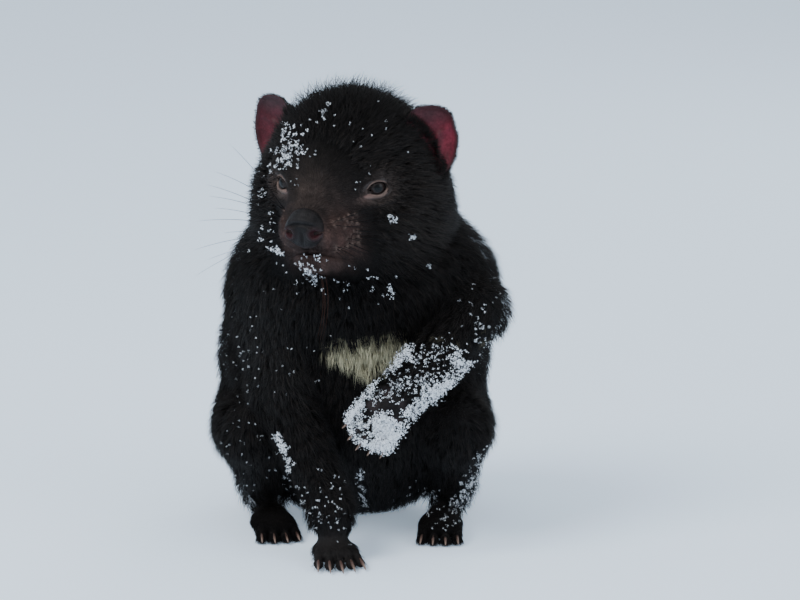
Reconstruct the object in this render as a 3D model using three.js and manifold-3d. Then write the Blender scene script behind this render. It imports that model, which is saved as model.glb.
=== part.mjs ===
// A young Tasmanian devil sitting up on its haunches, life size, as a still museum model.
// Its right forepaw is planted between the hind feet and its left forepaw is lifted before the chest,
// with the palm to the front. The head is turned to the animal's right.
// Millimetres, +Z up. The chest faces -Y, and the animal's left side is towards +X.
// The flesh nodes reach to the tips of the short coat.
import * as THREE from 'three';
import Module from 'manifold-3d';
import { mergeVertices } from 'three/addons/utils/BufferGeometryUtils.js';
import { triTable } from 'three/addons/objects/MarchingCubes.js';

const wasm = await Module();
wasm.setup();

// Driving dimensions

const GAP = 0.3; // clearance between touching nodes
const HEAD = { centre: [0, -35, 269], yaw: 25, pitch: 5, roll: 2 }; // degrees, yaw to the animal's right
const EYE = { radius: 7.6, lid: 1.9, out: [0.81, 0.59, 0.06], right: [36.4, -30.2, 8.4], left: [32.4, 37.2, 6.7] };
const LID_OPENING = { slant: 14, width: 13.5, height: 9.8 };
const EAR = { width: 20, height: 26, cup: 10, thick: 2.6 };
const EAR_PLACES = { // the right ear is held a little higher and more to the front
  right: { at: [-9, -65, 35], out: [0.93, -0.36, 0.08] },
  left: { at: [-9, 63, 31], out: [0.86, 0.46, 0.08] },
};
const NOSE = { at: [75, 0, -12.5], radii: [9.5, 14, 12.5], lip: [75, 0, -23], lipRadii: [7.5, 10.5, 8.5] };
const MOUTH = { front: [74, -35], corner: [48, -44], depth: 2.6, width: 1.1 }; // [forward, up] in the head
const JAW_BACK = 34; // how far forward of the head's centre the jaw ends
const SPINE = {
  chest: [0, -2, 178], flank: [3, 34, 132], belly: [0, 18, 108], rump: [0, 54, 62],
  nape: [3, -24, 242], withers: [3, 12, 200],
};
const RIGHT_ARM = { shoulder: [-54, -20, 181], elbow: [-50, -48, 118], wrist: [-15, -90, 40] };
const LEFT_ARM = { shoulder: [68, -12, 190], elbow: [91.5, -35, 174], wrist: [51, -88, 134] };
const ARM_RADII = { shoulder: 37, elbow: 26, wrist: 17.5 };
const RIGHT_LEG = { hip: [-58, 58, 70], knee: [-74, -26, 82], ankle: [-66, 26, 27] };
const LEFT_LEG = { hip: [58, 58, 70], knee: [78, -32, 84], ankle: [74, 20, 28] };
const LEG_RADII = { hip: 46, knee: 29, ankle: 20 };
const PAWS = {
  right_fore: { palm: [-11, -103, 9], forward: [0.18, -0.98, 0], sole: [0, 0, -1] },
  left_fore: { palm: [29, -94, 113], forward: [-0.62, -0.16, -0.76], sole: [-0.1, -0.97, 0.14] },
  right_hind: { palm: [-58, -22, 9], forward: [0.2, -0.98, 0], sole: [0, 0, -1] },
  left_hind: { palm: [67, -28, 9], forward: [-0.04, -1, 0], sole: [0, 0, -1] },
};
const FORE_PAW = { length: 38, width: 36, thick: 19, digits: 5, digit: 17, digitRadius: 5.4, drop: 4.6, claw: 11 };
const HIND_PAW = { length: 50, width: 33, thick: 19, digits: 4, digit: 15, digitRadius: 5.8, drop: 4.4, claw: 9 };
const TAIL = { path: [[0, 98, 30], [-6, 146, 21.5], [-28, 192, 14], [-66, 226, 7]], radii: [31, 22.5, 15, 7.5] };

// Distances. A form is a function of x, y, z that is negative inside and rises by 1 for each millimetre.

const dot = (a, b) => a[0] * b[0] + a[1] * b[1] + a[2] * b[2];
const plus = (a, b, k = 1) => [a[0] + b[0] * k, a[1] + b[1] * k, a[2] + b[2] * k];
const unit = (a) => a.map((v) => v / Math.hypot(...a));
const cross = (a, b) => [a[1] * b[2] - a[2] * b[1], a[2] * b[0] - a[0] * b[2], a[0] * b[1] - a[1] * b[0]];
const between = (a, b, t) => plus(a, plus(b, a, -1), t);

function ellipsoid([cx, cy, cz], [rx, ry, rz]) {
  const smallest = Math.min(rx, ry, rz);
  return (x, y, z) => {
    const a = (x - cx) / rx, b = (y - cy) / ry, c = (z - cz) / rz;
    const near = Math.sqrt(a * a + b * b + c * c);
    const slope = Math.sqrt((a * a) / (rx * rx) + (b * b) / (ry * ry) + (c * c) / (rz * rz));
    return slope > 1e-9 ? (near * (near - 1)) / slope : -smallest;
  };
}

// A limb with a round end of each radius and a straight taper between them.
function taper(a, b, ra, rb) {
  const along = plus(b, a, -1), length2 = dot(along, along), drop = ra - rb;
  const side2 = length2 - drop * drop;
  return (x, y, z) => {
    const px = x - a[0], py = y - a[1], pz = z - a[2];
    const down = px * along[0] + py * along[1] + pz * along[2], past = down - length2;
    const qx = px * length2 - along[0] * down, qy = py * length2 - along[1] * down;
    const qz = pz * length2 - along[2] * down;
    const off2 = qx * qx + qy * qy + qz * qz;
    const down2 = down * down * length2, past2 = past * past * length2;
    const k = Math.sign(drop) * drop * drop * off2;
    if (Math.sign(past) * side2 * past2 > k) return Math.sqrt(off2 + past2) / length2 - rb;
    if (Math.sign(down) * side2 * down2 < k) return Math.sqrt(off2 + down2) / length2 - ra;
    return (Math.sqrt((off2 * side2) / length2) + down * drop) / length2 - ra;
  };
}

// Forms run into each other with a fillet about k wide.
function blend(k, ...forms) {
  return (x, y, z) => {
    let d = forms[0](x, y, z);
    for (let i = 1; i < forms.length; i++) {
      const e = forms[i](x, y, z), h = Math.max(k - Math.abs(d - e), 0);
      d = Math.min(d, e) - (h * h) / (4 * k);
    }
    return d;
  };
}

// A form with another taken out of it, and the edge of the hollow rounded.
function hollowed(k, form, hollow) {
  const outside = (x, y, z) => -form(x, y, z);
  const joined = blend(k, outside, hollow);
  return (x, y, z) => -joined(x, y, z);
}

// Head frame: forward along the muzzle, left, and up. Forms of the head are mirrored in its own middle plane.

const rad = THREE.MathUtils.degToRad;
const headTurn = new THREE.Matrix4()
  .makeRotationZ(-rad(HEAD.yaw))
  .multiply(new THREE.Matrix4().makeRotationX(rad(HEAD.pitch)))
  .multiply(new THREE.Matrix4().makeRotationY(-rad(HEAD.roll)));
const headAxis = (x, y, z) => new THREE.Vector3(x, y, z).transformDirection(headTurn).toArray();
const headForward = headAxis(0, -1, 0), headLeft = headAxis(1, 0, 0), headUp = headAxis(0, 0, 1);
const inHead = ([f, l, u]) => plus(plus(plus(HEAD.centre, headForward, f), headLeft, l), headUp, u);

const toHead = (x, y, z) => {
  const p = plus([x, y, z], HEAD.centre, -1);
  return [dot(p, headForward), dot(p, headLeft), dot(p, headUp)];
};

function headForm(local) {
  return (x, y, z) => {
    const [f, l, u] = toHead(x, y, z);
    return local(f, Math.abs(l), u);
  };
}

// A ball-like form of one side, set off from its eye by so much forwards, outwards and upwards.
function nearEye(side, away, radii) {
  const sign = Math.sign(EYE[side][1]);
  const form = ellipsoid(plus(EYE[side], [away[0], away[1] * sign, away[2]]), radii);
  return (x, y, z) => form(...toHead(x, y, z));
}

const cranium = blend(
  14,
  ellipsoid([-6, 0, 14], [58, 60, 58]),
  ellipsoid([-6, 36, -14], [49, 38, 44]),
  ellipsoid([26, 0, 13], [34, 42, 32]),
  ellipsoid([12, 24, -40], [36, 33, 29]),
);
const muzzle = blend(
  8,
  taper([34, 0, -10], [65, 0, -14], 34, 18),
  ellipsoid([61, 13, -20], [19, 15, 15]),
  ellipsoid([57, 0, -42], [17, 17, 11]),
  taper([24, 24, -42], [54, 8, -41], 18, 12),
);
let head = headForm(blend(10, cranium, muzzle));
for (const side of ['right', 'left']) {
  const lid = EYE.radius + EYE.lid;
  head = blend(10, head, nearEye(side, [-0.5, -4, 11.3], [10, 14, 6])); // brow
  head = hollowed(7, head, nearEye(side, [17.5, 10, -0.7], [16, 14, 12])); // socket
  head = blend(4, head, nearEye(side, [0, 0, 0], [lid, lid, lid]));
}

// Body and limbs

const shoulders = blend(
  20,
  ellipsoid([-48, -4, 184], [42, 46, 46]),
  ellipsoid([64, -4, 190], [46, 46, 46]),
);
const neck = taper(SPINE.nape, SPINE.withers, 60, 74);
const torso = blend(
  26,
  ellipsoid(SPINE.chest, [82, 74, 62]),
  ellipsoid(SPINE.flank, [102, 68, 92]),
  ellipsoid(SPINE.belly, [88, 82, 78]),
  ellipsoid(SPINE.rump, [88, 68, 66]),
  shoulders,
);

function limb(k, { shoulder, elbow, wrist }, palm) {
  const { shoulder: rs, elbow: re, wrist: rw } = ARM_RADII;
  return blend(k, taper(shoulder, elbow, rs, re), taper(elbow, wrist, re - 1, rw), taper(wrist, palm, rw, 9));
}

function leg({ hip, knee, ankle }, palm) {
  const { hip: rh, knee: rk, ankle: ra } = LEG_RADII;
  const heel = [ankle[0], ankle[1] + 8, 12.5];
  return {
    thigh: taper(hip, knee, rh, rk),
    shank: blend(8, taper(knee, ankle, rk - 3, ra), taper(ankle, heel, ra, 13), taper(heel, palm, 13, 10)),
  };
}

// A paw lies in its own frame: forward to the digits, the sole's outward direction, and across.
function paw({ palm, forward, sole }, size) {
  const ahead = unit(forward);
  const under = unit(plus(sole, ahead, -dot(sole, ahead)));
  const across = cross(ahead, under);
  const inner = (p) => [dot(p, ahead), dot(p, across), dot(p, under)];
  const pad = ellipsoid([0, 0, 0], [size.length / 2, size.width / 2, size.thick / 2]);
  const hand = (x, y, z) => pad(...inner([x - palm[0], y - palm[1], z - palm[2]]));
  const digits = [];
  for (let i = 0; i < size.digits; i++) {
    const place = i - (size.digits - 1) / 2;
    const reach = size.digit * (1 - 0.06 * place * place);
    const step = size.width / (size.digits + 0.4);
    const way = unit(plus(ahead, across, 0.09 * place));
    const root = plus(plus(palm, ahead, size.length * 0.3 - Math.abs(place)), across, place * step);
    const knuckle = plus(root, under, size.drop * 0.2);
    const tip = plus(plus(root, way, reach), under, size.drop);
    digits.push({ way, tip, form: taper(knuckle, tip, size.digitRadius + 0.6, size.digitRadius - 1) });
  }
  return { ahead, under, across, digits, form: blend(5, hand, ...digits.map((d) => d.form)) };
}

const paws = {
  right_fore: paw(PAWS.right_fore, FORE_PAW),
  left_fore: paw(PAWS.left_fore, FORE_PAW),
  right_hind: paw(PAWS.right_hind, HIND_PAW),
  left_hind: paw(PAWS.left_hind, HIND_PAW),
};
const rightArm = blend(6, limb(10, RIGHT_ARM, PAWS.right_fore.palm), paws.right_fore.form);
const leftArm = blend(6, limb(10, LEFT_ARM, PAWS.left_fore.palm), paws.left_fore.form);
const rightLegForms = leg(RIGHT_LEG, PAWS.right_hind.palm);
const leftLegForms = leg(LEFT_LEG, PAWS.left_hind.palm);
const rightFoot = blend(6, rightLegForms.shank, paws.right_hind.form);
const leftFoot = blend(6, leftLegForms.shank, paws.left_hind.form);
const tail = blend(
  8,
  ...TAIL.path.slice(1).map((end, i) => taper(TAIL.path[i], end, TAIL.radii[i], TAIL.radii[i + 1])),
);

const trunk = blend(16, blend(30, torso, neck), head);
const haunches = blend(14, rightLegForms.thigh, leftLegForms.thigh);
const body = blend(
  5,
  blend(10, blend(22, blend(18, trunk, haunches), tail), blend(4, rightArm, leftArm)),
  blend(4, rightFoot, leftFoot),
);

// Meshes: marching cubes, thinning, and the way to and from solids that can be cut

const CORNERS = [[0, 0, 0], [1, 0, 0], [1, 1, 0], [0, 1, 0], [0, 0, 1], [1, 0, 1], [1, 1, 1], [0, 1, 1]];
const EDGES = [
  [0, 1], [1, 2], [2, 3], [3, 0], [4, 5], [5, 6], [6, 7], [7, 4], [0, 4], [1, 5], [2, 6], [3, 7],
];
const BLOCK = 4; // cells to a side of the blocks that are skipped where no surface is near

// The zero surface of a form between two corners, as one triangle mesh.
function surfaceOf(form, low, high, step) {
  const size = low.map((v, i) => Math.ceil((high[i] - v) / step / BLOCK) * BLOCK + 1);
  const index = (i, j, k) => i + size[0] * (j + size[1] * k);
  const place = (i, axis) => low[axis] + i * step;
  const known = new Float32Array(size[0] * size[1] * size[2]).fill(NaN);
  const value = (i, j, k) => {
    const at = index(i, j, k);
    if (Number.isNaN(known[at])) known[at] = form(place(i, 0), place(j, 1), place(k, 2)) || 1e-6;
    return known[at];
  };
  const positions = [], triangles = [], made = new Map();
  const cell = (i, j, k) => {
    const values = CORNERS.map(([a, b, c]) => value(i + a, j + b, k + c));
    const bits = values.reduce((sum, v, n) => sum + (v < 0 ? 1 << n : 0), 0);
    for (let n = bits * 16; triTable[n] !== -1; n++) {
      const [from, to] = EDGES[triTable[n]];
      const ends = [from, to].map((c) => index(i + CORNERS[c][0], j + CORNERS[c][1], k + CORNERS[c][2]));
      const key = Math.min(...ends) * known.length + Math.max(...ends);
      if (!made.has(key)) {
        const t = Math.min(0.95, Math.max(0.05, values[from] / (values[from] - values[to])));
        made.set(key, positions.length / 3);
        const origin = [i, j, k];
        for (let a = 0; a < 3; a++) {
          positions.push(place(origin[a] + CORNERS[from][a] * (1 - t) + CORNERS[to][a] * t, a));
        }
      }
      triangles.push(made.get(key));
    }
  };
  for (let k = 0; k < size[2] - 1; k += BLOCK) {
    for (let j = 0; j < size[1] - 1; j += BLOCK) {
      for (let i = 0; i < size[0] - 1; i += BLOCK) {
        const half = BLOCK / 2;
        if (Math.abs(value(i + half, j + half, k + half)) > 1.25 * BLOCK * step) continue;
        for (let n = 0; n < BLOCK ** 3; n++) {
          cell(i + (n % BLOCK), j + (Math.floor(n / BLOCK) % BLOCK), k + Math.floor(n / BLOCK ** 2));
        }
      }
    }
  }
  return facingOut({ positions, triangles });
}

function volumeOf({ positions: p, triangles: t }) {
  let sum = 0;
  for (let n = 0; n < t.length; n += 3) {
    const [a, b, c] = [t[n], t[n + 1], t[n + 2]].map((v) => [p[3 * v], p[3 * v + 1], p[3 * v + 2]]);
    sum += dot(a, cross(b, c)) / 6;
  }
  return sum;
}

function facingOut(mesh) {
  if (volumeOf(mesh) < 0) mesh.triangles.reverse();
  return mesh;
}

// Collapses the edges whose loss changes the surface least, until about the wanted number of triangles is left.
// The error of a point is the sum of its squared distances to the planes that it stands for.
function thinned(mesh, wanted) {
  const count = mesh.positions.length / 3;
  const at = Float64Array.from(mesh.positions);
  const faces = mesh.triangles.slice();
  const errors = new Float64Array(count * 10);
  const around = Array.from({ length: count }, () => new Set());
  const version = new Int32Array(count);
  const point = (v) => [at[3 * v], at[3 * v + 1], at[3 * v + 2]];
  const normalOf = (a, b, c) => cross(plus(b, a, -1), plus(c, a, -1));
  const KEEP_PLACE = 0.001; // holds points lightly where they are, so that flat stretches keep even triangles
  const addPlane = (v, [a, b, c], d, weight) => {
    const terms = [a * a, a * b, a * c, a * d, b * b, b * c, b * d, c * c, c * d, d * d];
    for (let i = 0; i < 10; i++) errors[10 * v + i] += weight * terms[i];
  };
  for (let f = 0; f < faces.length; f += 3) {
    const corners = [faces[f], faces[f + 1], faces[f + 2]], [a, b, c] = corners.map(point);
    const normal = normalOf(a, b, c), area = Math.hypot(...normal) / 2;
    const planes = [[unit(normal), area]];
    for (const axis of [[1, 0, 0], [0, 1, 0], [0, 0, 1]]) planes.push([axis, area * KEEP_PLACE]);
    for (const v of corners) {
      around[v].add(f);
      for (const [way, weight] of planes) addPlane(v, way, -dot(way, point(v)), weight);
    }
  }
  const errorAt = (q, [x, y, z]) =>
    q[0] * x * x + 2 * q[1] * x * y + 2 * q[2] * x * z + 2 * q[3] * x + q[4] * y * y +
    2 * q[5] * y * z + 2 * q[6] * y + q[7] * z * z + 2 * q[8] * z + q[9];
  const merged = (u, v) => {
    const q = new Float64Array(10);
    for (let i = 0; i < 10; i++) q[i] = errors[10 * u + i] + errors[10 * v + i];
    const rows = new THREE.Matrix3().set(q[0], q[1], q[2], q[1], q[4], q[5], q[2], q[5], q[7]);
    const middle = between(point(u), point(v), 0.5);
    let best = middle;
    if (Math.abs(rows.determinant()) > 1e-9) {
      const solved = new THREE.Vector3(-q[3], -q[6], -q[8]).applyMatrix3(rows.invert()).toArray();
      const span = Math.hypot(...plus(point(u), point(v), -1));
      if (Math.hypot(...plus(solved, middle, -1)) < span) best = solved;
    }
    return { error: errorAt(q, best), best };
  };
  const neighbours = (v) => {
    const found = new Set();
    for (const f of around[v]) for (let i = 0; i < 3; i++) found.add(faces[f + i]);
    found.delete(v);
    return found;
  };
  const queue = new Queue();
  const offer = (u, v) => {
    const { error, best } = merged(u, v);
    queue.push({ error, best, u, v, stamp: version[u] + version[v] });
  };
  for (let v = 0; v < count; v++) for (const u of neighbours(v)) if (u < v) offer(u, v);

  // A collapse is refused where it would pinch the surface or turn a face over.
  const allowed = (u, v, best) => {
    const shared = [...neighbours(u)].filter((w) => neighbours(v).has(w));
    if (shared.length !== 2 || shared.some((w) => around[w].size < 4)) return false;
    for (const [end, other] of [[u, v], [v, u]]) {
      for (const f of around[end]) {
        const corners = [faces[f], faces[f + 1], faces[f + 2]];
        if (corners.includes(other)) continue;
        const before = normalOf(...corners.map(point));
        const after = normalOf(...corners.map((w) => (w === end ? best : point(w))));
        const size = Math.hypot(...before) * Math.hypot(...after);
        if (dot(before, after) < 0.35 * size || Math.hypot(...after) < 1e-4) return false;
      }
    }
    return true;
  };
  let left = faces.length / 3;
  while (left > wanted && queue.size) {
    const { u, v, best, stamp } = queue.pop();
    if (stamp !== version[u] + version[v] || !around[u].size || !around[v].size) continue;
    if (!allowed(u, v, best)) continue;
    for (const f of [...around[v]]) {
      const corners = [faces[f], faces[f + 1], faces[f + 2]];
      if (corners.includes(u)) {
        for (const w of corners) around[w].delete(f);
        left--;
      } else {
        faces[f + corners.indexOf(v)] = u;
        around[u].add(f);
        around[v].delete(f);
      }
    }
    at.set(best, 3 * u);
    for (let i = 0; i < 10; i++) errors[10 * u + i] += errors[10 * v + i];
    version[u] += 1;
    version[v] += 1e6;
    for (const w of neighbours(u)) offer(Math.min(u, w), Math.max(u, w));
  }
  const kept = new Set(around.flatMap((found) => [...found]));
  const number = new Map(), positions = [], triangles = [];
  for (const f of kept) {
    for (let i = 0; i < 3; i++) {
      const v = faces[f + i];
      if (!number.has(v)) {
        number.set(v, positions.length / 3);
        positions.push(...point(v));
      }
      triangles.push(number.get(v));
    }
  }
  return { positions, triangles };
}

// A heap that gives back the entry of least error.
class Queue {
  entries = [];
  get size() {
    return this.entries.length;
  }
  push(entry) {
    const list = this.entries;
    let i = list.push(entry) - 1;
    while (i > 0 && list[(i - 1) >> 1].error > entry.error) {
      list[i] = list[(i - 1) >> 1];
      i = (i - 1) >> 1;
    }
    list[i] = entry;
  }
  pop() {
    const list = this.entries, top = list[0], last = list.pop();
    if (!list.length) return top;
    let i = 0;
    for (;;) {
      let child = 2 * i + 1;
      if (child >= list.length) break;
      if (child + 1 < list.length && list[child + 1].error < list[child].error) child++;
      if (list[child].error >= last.error) break;
      list[i] = list[child];
      i = child;
    }
    list[i] = last;
    return top;
  }
}

// Each point moved out along its normal, which gives the clearance to what is cut by this mesh.
function grown({ positions: p, triangles }, by) {
  const normals = new Float64Array(p.length);
  for (let n = 0; n < triangles.length; n += 3) {
    const corners = triangles.slice(n, n + 3);
    const [a, b, c] = corners.map((v) => [p[3 * v], p[3 * v + 1], p[3 * v + 2]]);
    const normal = cross(plus(b, a, -1), plus(c, a, -1));
    for (const v of corners) for (let i = 0; i < 3; i++) normals[3 * v + i] += normal[i];
  }
  const positions = Array.from(p);
  for (let v = 0; v < p.length; v += 3) {
    const length = Math.hypot(normals[v], normals[v + 1], normals[v + 2]) || 1;
    for (let i = 0; i < 3; i++) positions[v + i] += (by * normals[v + i]) / length;
  }
  return { positions, triangles };
}

const solidOf = ({ positions, triangles }) =>
  new wasm.Manifold(
    new wasm.Mesh({
      numProp: 3,
      vertProperties: Float32Array.from(positions),
      triVerts: Uint32Array.from(triangles),
    }),
  );

function meshOf(solid) {
  const { numProp, numVert, vertProperties, triVerts } = solid.getMesh();
  const positions = [];
  for (let v = 0; v < numVert; v++) {
    positions.push(...vertProperties.subarray(v * numProp, v * numProp + 3));
  }
  return { positions, triangles: Array.from(triVerts) };
}

function fromGeometry(geometry) {
  const bare = geometry.clone();
  for (const name of ['normal', 'uv']) bare.deleteAttribute(name);
  const merged = mergeVertices(bare, 1e-3);
  return facingOut({
    positions: Array.from(merged.attributes.position.array),
    triangles: Array.from(merged.index.array),
  });
}

const largest = (solid) => solid.decompose().sort((a, b) => b.volume() - a.volume())[0];

// Parts a solid at a plane through a point, leaving half the clearance on either side.
function parted(solid, point, normal) {
  const way = unit(normal), offset = dot(point, way);
  return {
    beyond: largest(solid.trimByPlane(way, offset + GAP / 2)),
    before: largest(solid.trimByPlane(way.map((v) => -v), -(offset - GAP / 2))),
  };
}

// The body, whole, and the regions that its nodes are parted by

const BODY_BOX = { low: [-130, -150, -12], high: [140, 252, 356] };
const BODY_STEP = 3.6, BODY_TRIANGLES = 5200;
const REGION_STEP = 9, REGION_TRIANGLES = 170;

const whole = solidOf(
  thinned(surfaceOf(body, BODY_BOX.low, BODY_BOX.high, BODY_STEP), BODY_TRIANGLES),
).trimByPlane([0, 0, 1], 0);

// The space that is nearer to one limb than to the rest of the body, so that the cut runs along its fold.
function regionOf(own, rest, low, high) {
  const edge = (x, y, z) =>
    Math.max(low[0] - x, x - high[0], low[1] - y, y - high[1], low[2] - z, z - high[2]) + 2;
  const form = (x, y, z) => Math.max((own(x, y, z) - rest(x, y, z)) / 2, edge(x, y, z));
  return thinned(surfaceOf(form, plus(low, [12, 12, 12], -1), plus(high, [12, 12, 12]), REGION_STEP), REGION_TRIANGLES);
}

const most = (...forms) => (x, y, z) => Math.min(...forms.map((f) => f(x, y, z)));
const REGIONS = {
  right_arm: [rightArm, most(trunk, haunches, rightFoot, leftArm), [-110, -140, -30], [20, 30, 236]],
  left_arm: [leftArm, most(trunk, haunches, leftFoot, rightArm), [-30, -140, 60], [140, 40, 240]],
  right_foot: [rightFoot, most(trunk, haunches, tail, rightArm), [-120, -110, -30], [-10, 70, 90]],
  left_foot: [leftFoot, most(trunk, haunches, tail, rightArm), [20, -110, -30], [130, 70, 90]],
  right_thigh: [rightLegForms.thigh, most(trunk, tail), [-125, -90, -30], [-20, 120, 130]],
  left_thigh: [leftLegForms.thigh, most(trunk, tail), [20, -90, -30], [125, 120, 130]],
  tail: [tail, most(trunk, haunches), [-100, 70, -30], [60, 250, 80]],
};

let rest = whole;
const limbs = {};
for (const [name, [own, others, low, high]] of Object.entries(REGIONS)) {
  const region = regionOf(own, others, low, high);
  limbs[name] = largest(rest.intersect(solidOf(region)));
  rest = largest(rest.subtract(solidOf(grown(region, GAP))));
}

const nodes = {};
const halfway = (from, to, t) => [between(from, to, t), plus(to, from, -1)];

for (const [side, joints] of [['right', RIGHT_ARM], ['left', LEFT_ARM]]) {
  const elbow = parted(limbs[side + '_arm'], joints.elbow, plus(joints.wrist, joints.shoulder, -1));
  const wrist = parted(elbow.beyond, ...halfway(joints.elbow, joints.wrist, 0.94));
  nodes['upper_arm_' + side] = elbow.before;
  nodes['forearm_' + side] = wrist.before;
  nodes['forepaw_' + side] = wrist.beyond;
}
for (const [side, joints] of [['right', RIGHT_LEG], ['left', LEFT_LEG]]) {
  const ankle = parted(limbs[side + '_foot'], plus(joints.ankle, [0, -14, -4]), [0, -0.55, -1]);
  nodes['thigh_' + side] = limbs[side + '_thigh'];
  nodes['shank_' + side] = ankle.before;
  nodes['hindfoot_' + side] = ankle.beyond;
}
const tailCut = parted(limbs.tail, ...halfway(TAIL.path[1], TAIL.path[2], 0.5));
nodes.tail_root = tailCut.before;
nodes.tail_tip = tailCut.beyond;

const NECK_WAY = [0, -0.5, 0.86];
const throat = parted(rest, [0, -10, 230], NECK_WAY);
const collar = parted(throat.before, [0, 4, 205], NECK_WAY);
const waist = parted(collar.before, [0, 0, 118], [0, -0.12, 1]);
nodes.neck = collar.beyond;
nodes.thorax = waist.beyond;
nodes.abdomen = waist.before;

// Head: the eye sockets and lid openings, the slit of the mouth, and the jaw below it

const boxAt = (centre, size) => new THREE.BoxGeometry(...size).translate(...centre);
const headMatrix = new THREE.Matrix4()
  .makeBasis(...[headForward, headLeft, headUp].map((v) => new THREE.Vector3(...v)))
  .setPosition(...HEAD.centre);
const SIDES = [['right', -1], ['left', 1]];

// The lid opening is pointed at both corners, with its outer corner the higher one.
function lidOpening(side, sign) {
  const outline = new THREE.Shape();
  const half = LID_OPENING.width / 2, rise = LID_OPENING.height;
  outline.moveTo(-half, 0);
  outline.quadraticCurveTo(0, rise, half, 0);
  outline.quadraticCurveTo(0, -rise, -half, 0);
  const cut = new THREE.ExtrudeGeometry(outline, { depth: 14, bevelEnabled: false, curveSegments: 5 });
  const out = new THREE.Vector3(EYE.out[0], EYE.out[1] * sign, EYE.out[2]).normalize();
  const across = new THREE.Vector3(0, 0, 1).cross(out).normalize();
  const place = new THREE.Matrix4()
    .makeBasis(across, out.clone().cross(across), out)
    .setPosition(...EYE[side]);
  cut.applyMatrix4(new THREE.Matrix4().makeRotationZ(rad(LID_OPENING.slant * sign)));
  return cut.applyMatrix4(headMatrix.clone().multiply(place));
}

// A band that follows the lips at the height of the mouth, cut into them by its depth.
function mouthSlit() {
  const [frontF, frontU] = MOUTH.front, [cornerF, cornerU] = MOUTH.corner;
  const heightAt = (f) => frontU + ((cornerU - frontU) * (frontF - f)) / (frontF - cornerF);
  const positions = [], triangles = [];
  const steps = 14, swing = rad(76), pivot = 42;
  for (let n = 0; n <= steps; n++) {
    const angle = swing * ((2 * n) / steps - 1);
    let reach = 6;
    const spot = (r) => [pivot + r * Math.cos(angle), r * Math.sin(angle), heightAt(pivot + r * Math.cos(angle))];
    while (reach < 60 && head(...inHead(spot(reach))) < 0) reach += 0.25;
    for (const [r, lift] of [[-MOUTH.depth, -0.5], [6, -0.9], [6, 0.9], [-MOUTH.depth, 0.5]]) {
      const [f, l, u] = spot(reach + r);
      positions.push(...inHead([f, l, u + lift * MOUTH.width]));
    }
    if (n < steps) {
      for (let i = 0; i < 4; i++) {
        const a = 4 * n + i, b = 4 * n + ((i + 1) % 4);
        triangles.push(a, b, b + 4, a, b + 4, a + 4);
      }
    }
  }
  const end = 4 * steps;
  triangles.push(0, 2, 1, 0, 3, 2, end, end + 1, end + 2, end, end + 2, end + 3);
  return facingOut({ positions, triangles });
}

const eyeball = (side, radius) =>
  new THREE.SphereGeometry(radius, 14, 9).translate(...EYE[side]).applyMatrix4(headMatrix);

let face = throat.beyond.subtract(solidOf(mouthSlit()));
for (const [side, sign] of SIDES) {
  face = face.subtract(solidOf(fromGeometry(lidOpening(side, sign))));
  face = face.subtract(solidOf(fromGeometry(eyeball(side, EYE.radius + GAP))));
  nodes['eye_' + side] = solidOf(fromGeometry(eyeball(side, EYE.radius)));
}
face = largest(face);

const jawBlock = (gap) => {
  const [frontF, frontU] = MOUTH.front, [cornerF, cornerU] = MOUTH.corner;
  const tilt = Math.atan2(frontU - cornerU, frontF - cornerF);
  const block = boxAt([60, 0, -30], [120 + 2 * gap, 160, 60 + 2 * gap]);
  block.translate(JAW_BACK - cornerF, 0, 0).applyMatrix4(new THREE.Matrix4().makeRotationY(-tilt));
  return block.translate(cornerF, 0, cornerU).applyMatrix4(headMatrix);
};
nodes.lower_jaw = largest(face.intersect(solidOf(fromGeometry(jawBlock(0)))));
nodes.head = largest(face.subtract(solidOf(fromGeometry(jawBlock(GAP)))));

// Nose pad, with a comma of a nostril on either side

const pad = blend(
  4,
  ellipsoid(NOSE.at, NOSE.radii),
  ellipsoid([NOSE.at[0] + 1.5, 8.5, NOSE.at[2] - 4], [8, 7, 8]),
  ellipsoid(NOSE.lip, NOSE.lipRadii),
);
const nostril = blend(
  2,
  ellipsoid([NOSE.at[0] + 9.5, 10, NOSE.at[2] - 4], [4, 3.2, 3]),
  ellipsoid([NOSE.at[0] + 7, 14, NOSE.at[2] - 3.5], [3.5, 3.5, 1.5]),
);
const noseForm = headForm(hollowed(1.5, pad, nostril));
const noseMiddle = inHead(NOSE.at);
const noseMesh = surfaceOf(noseForm, plus(noseMiddle, [22, 22, 22], -1), plus(noseMiddle, [22, 22, 22]), 1.8);
const headGrown = solidOf(grown(meshOf(nodes.head), GAP));
nodes.nose = largest(solidOf(thinned(noseMesh, 420)).subtract(headGrown));

// Ears: thin cups set into the upper corners of the head, open to the front and outwards

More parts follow.
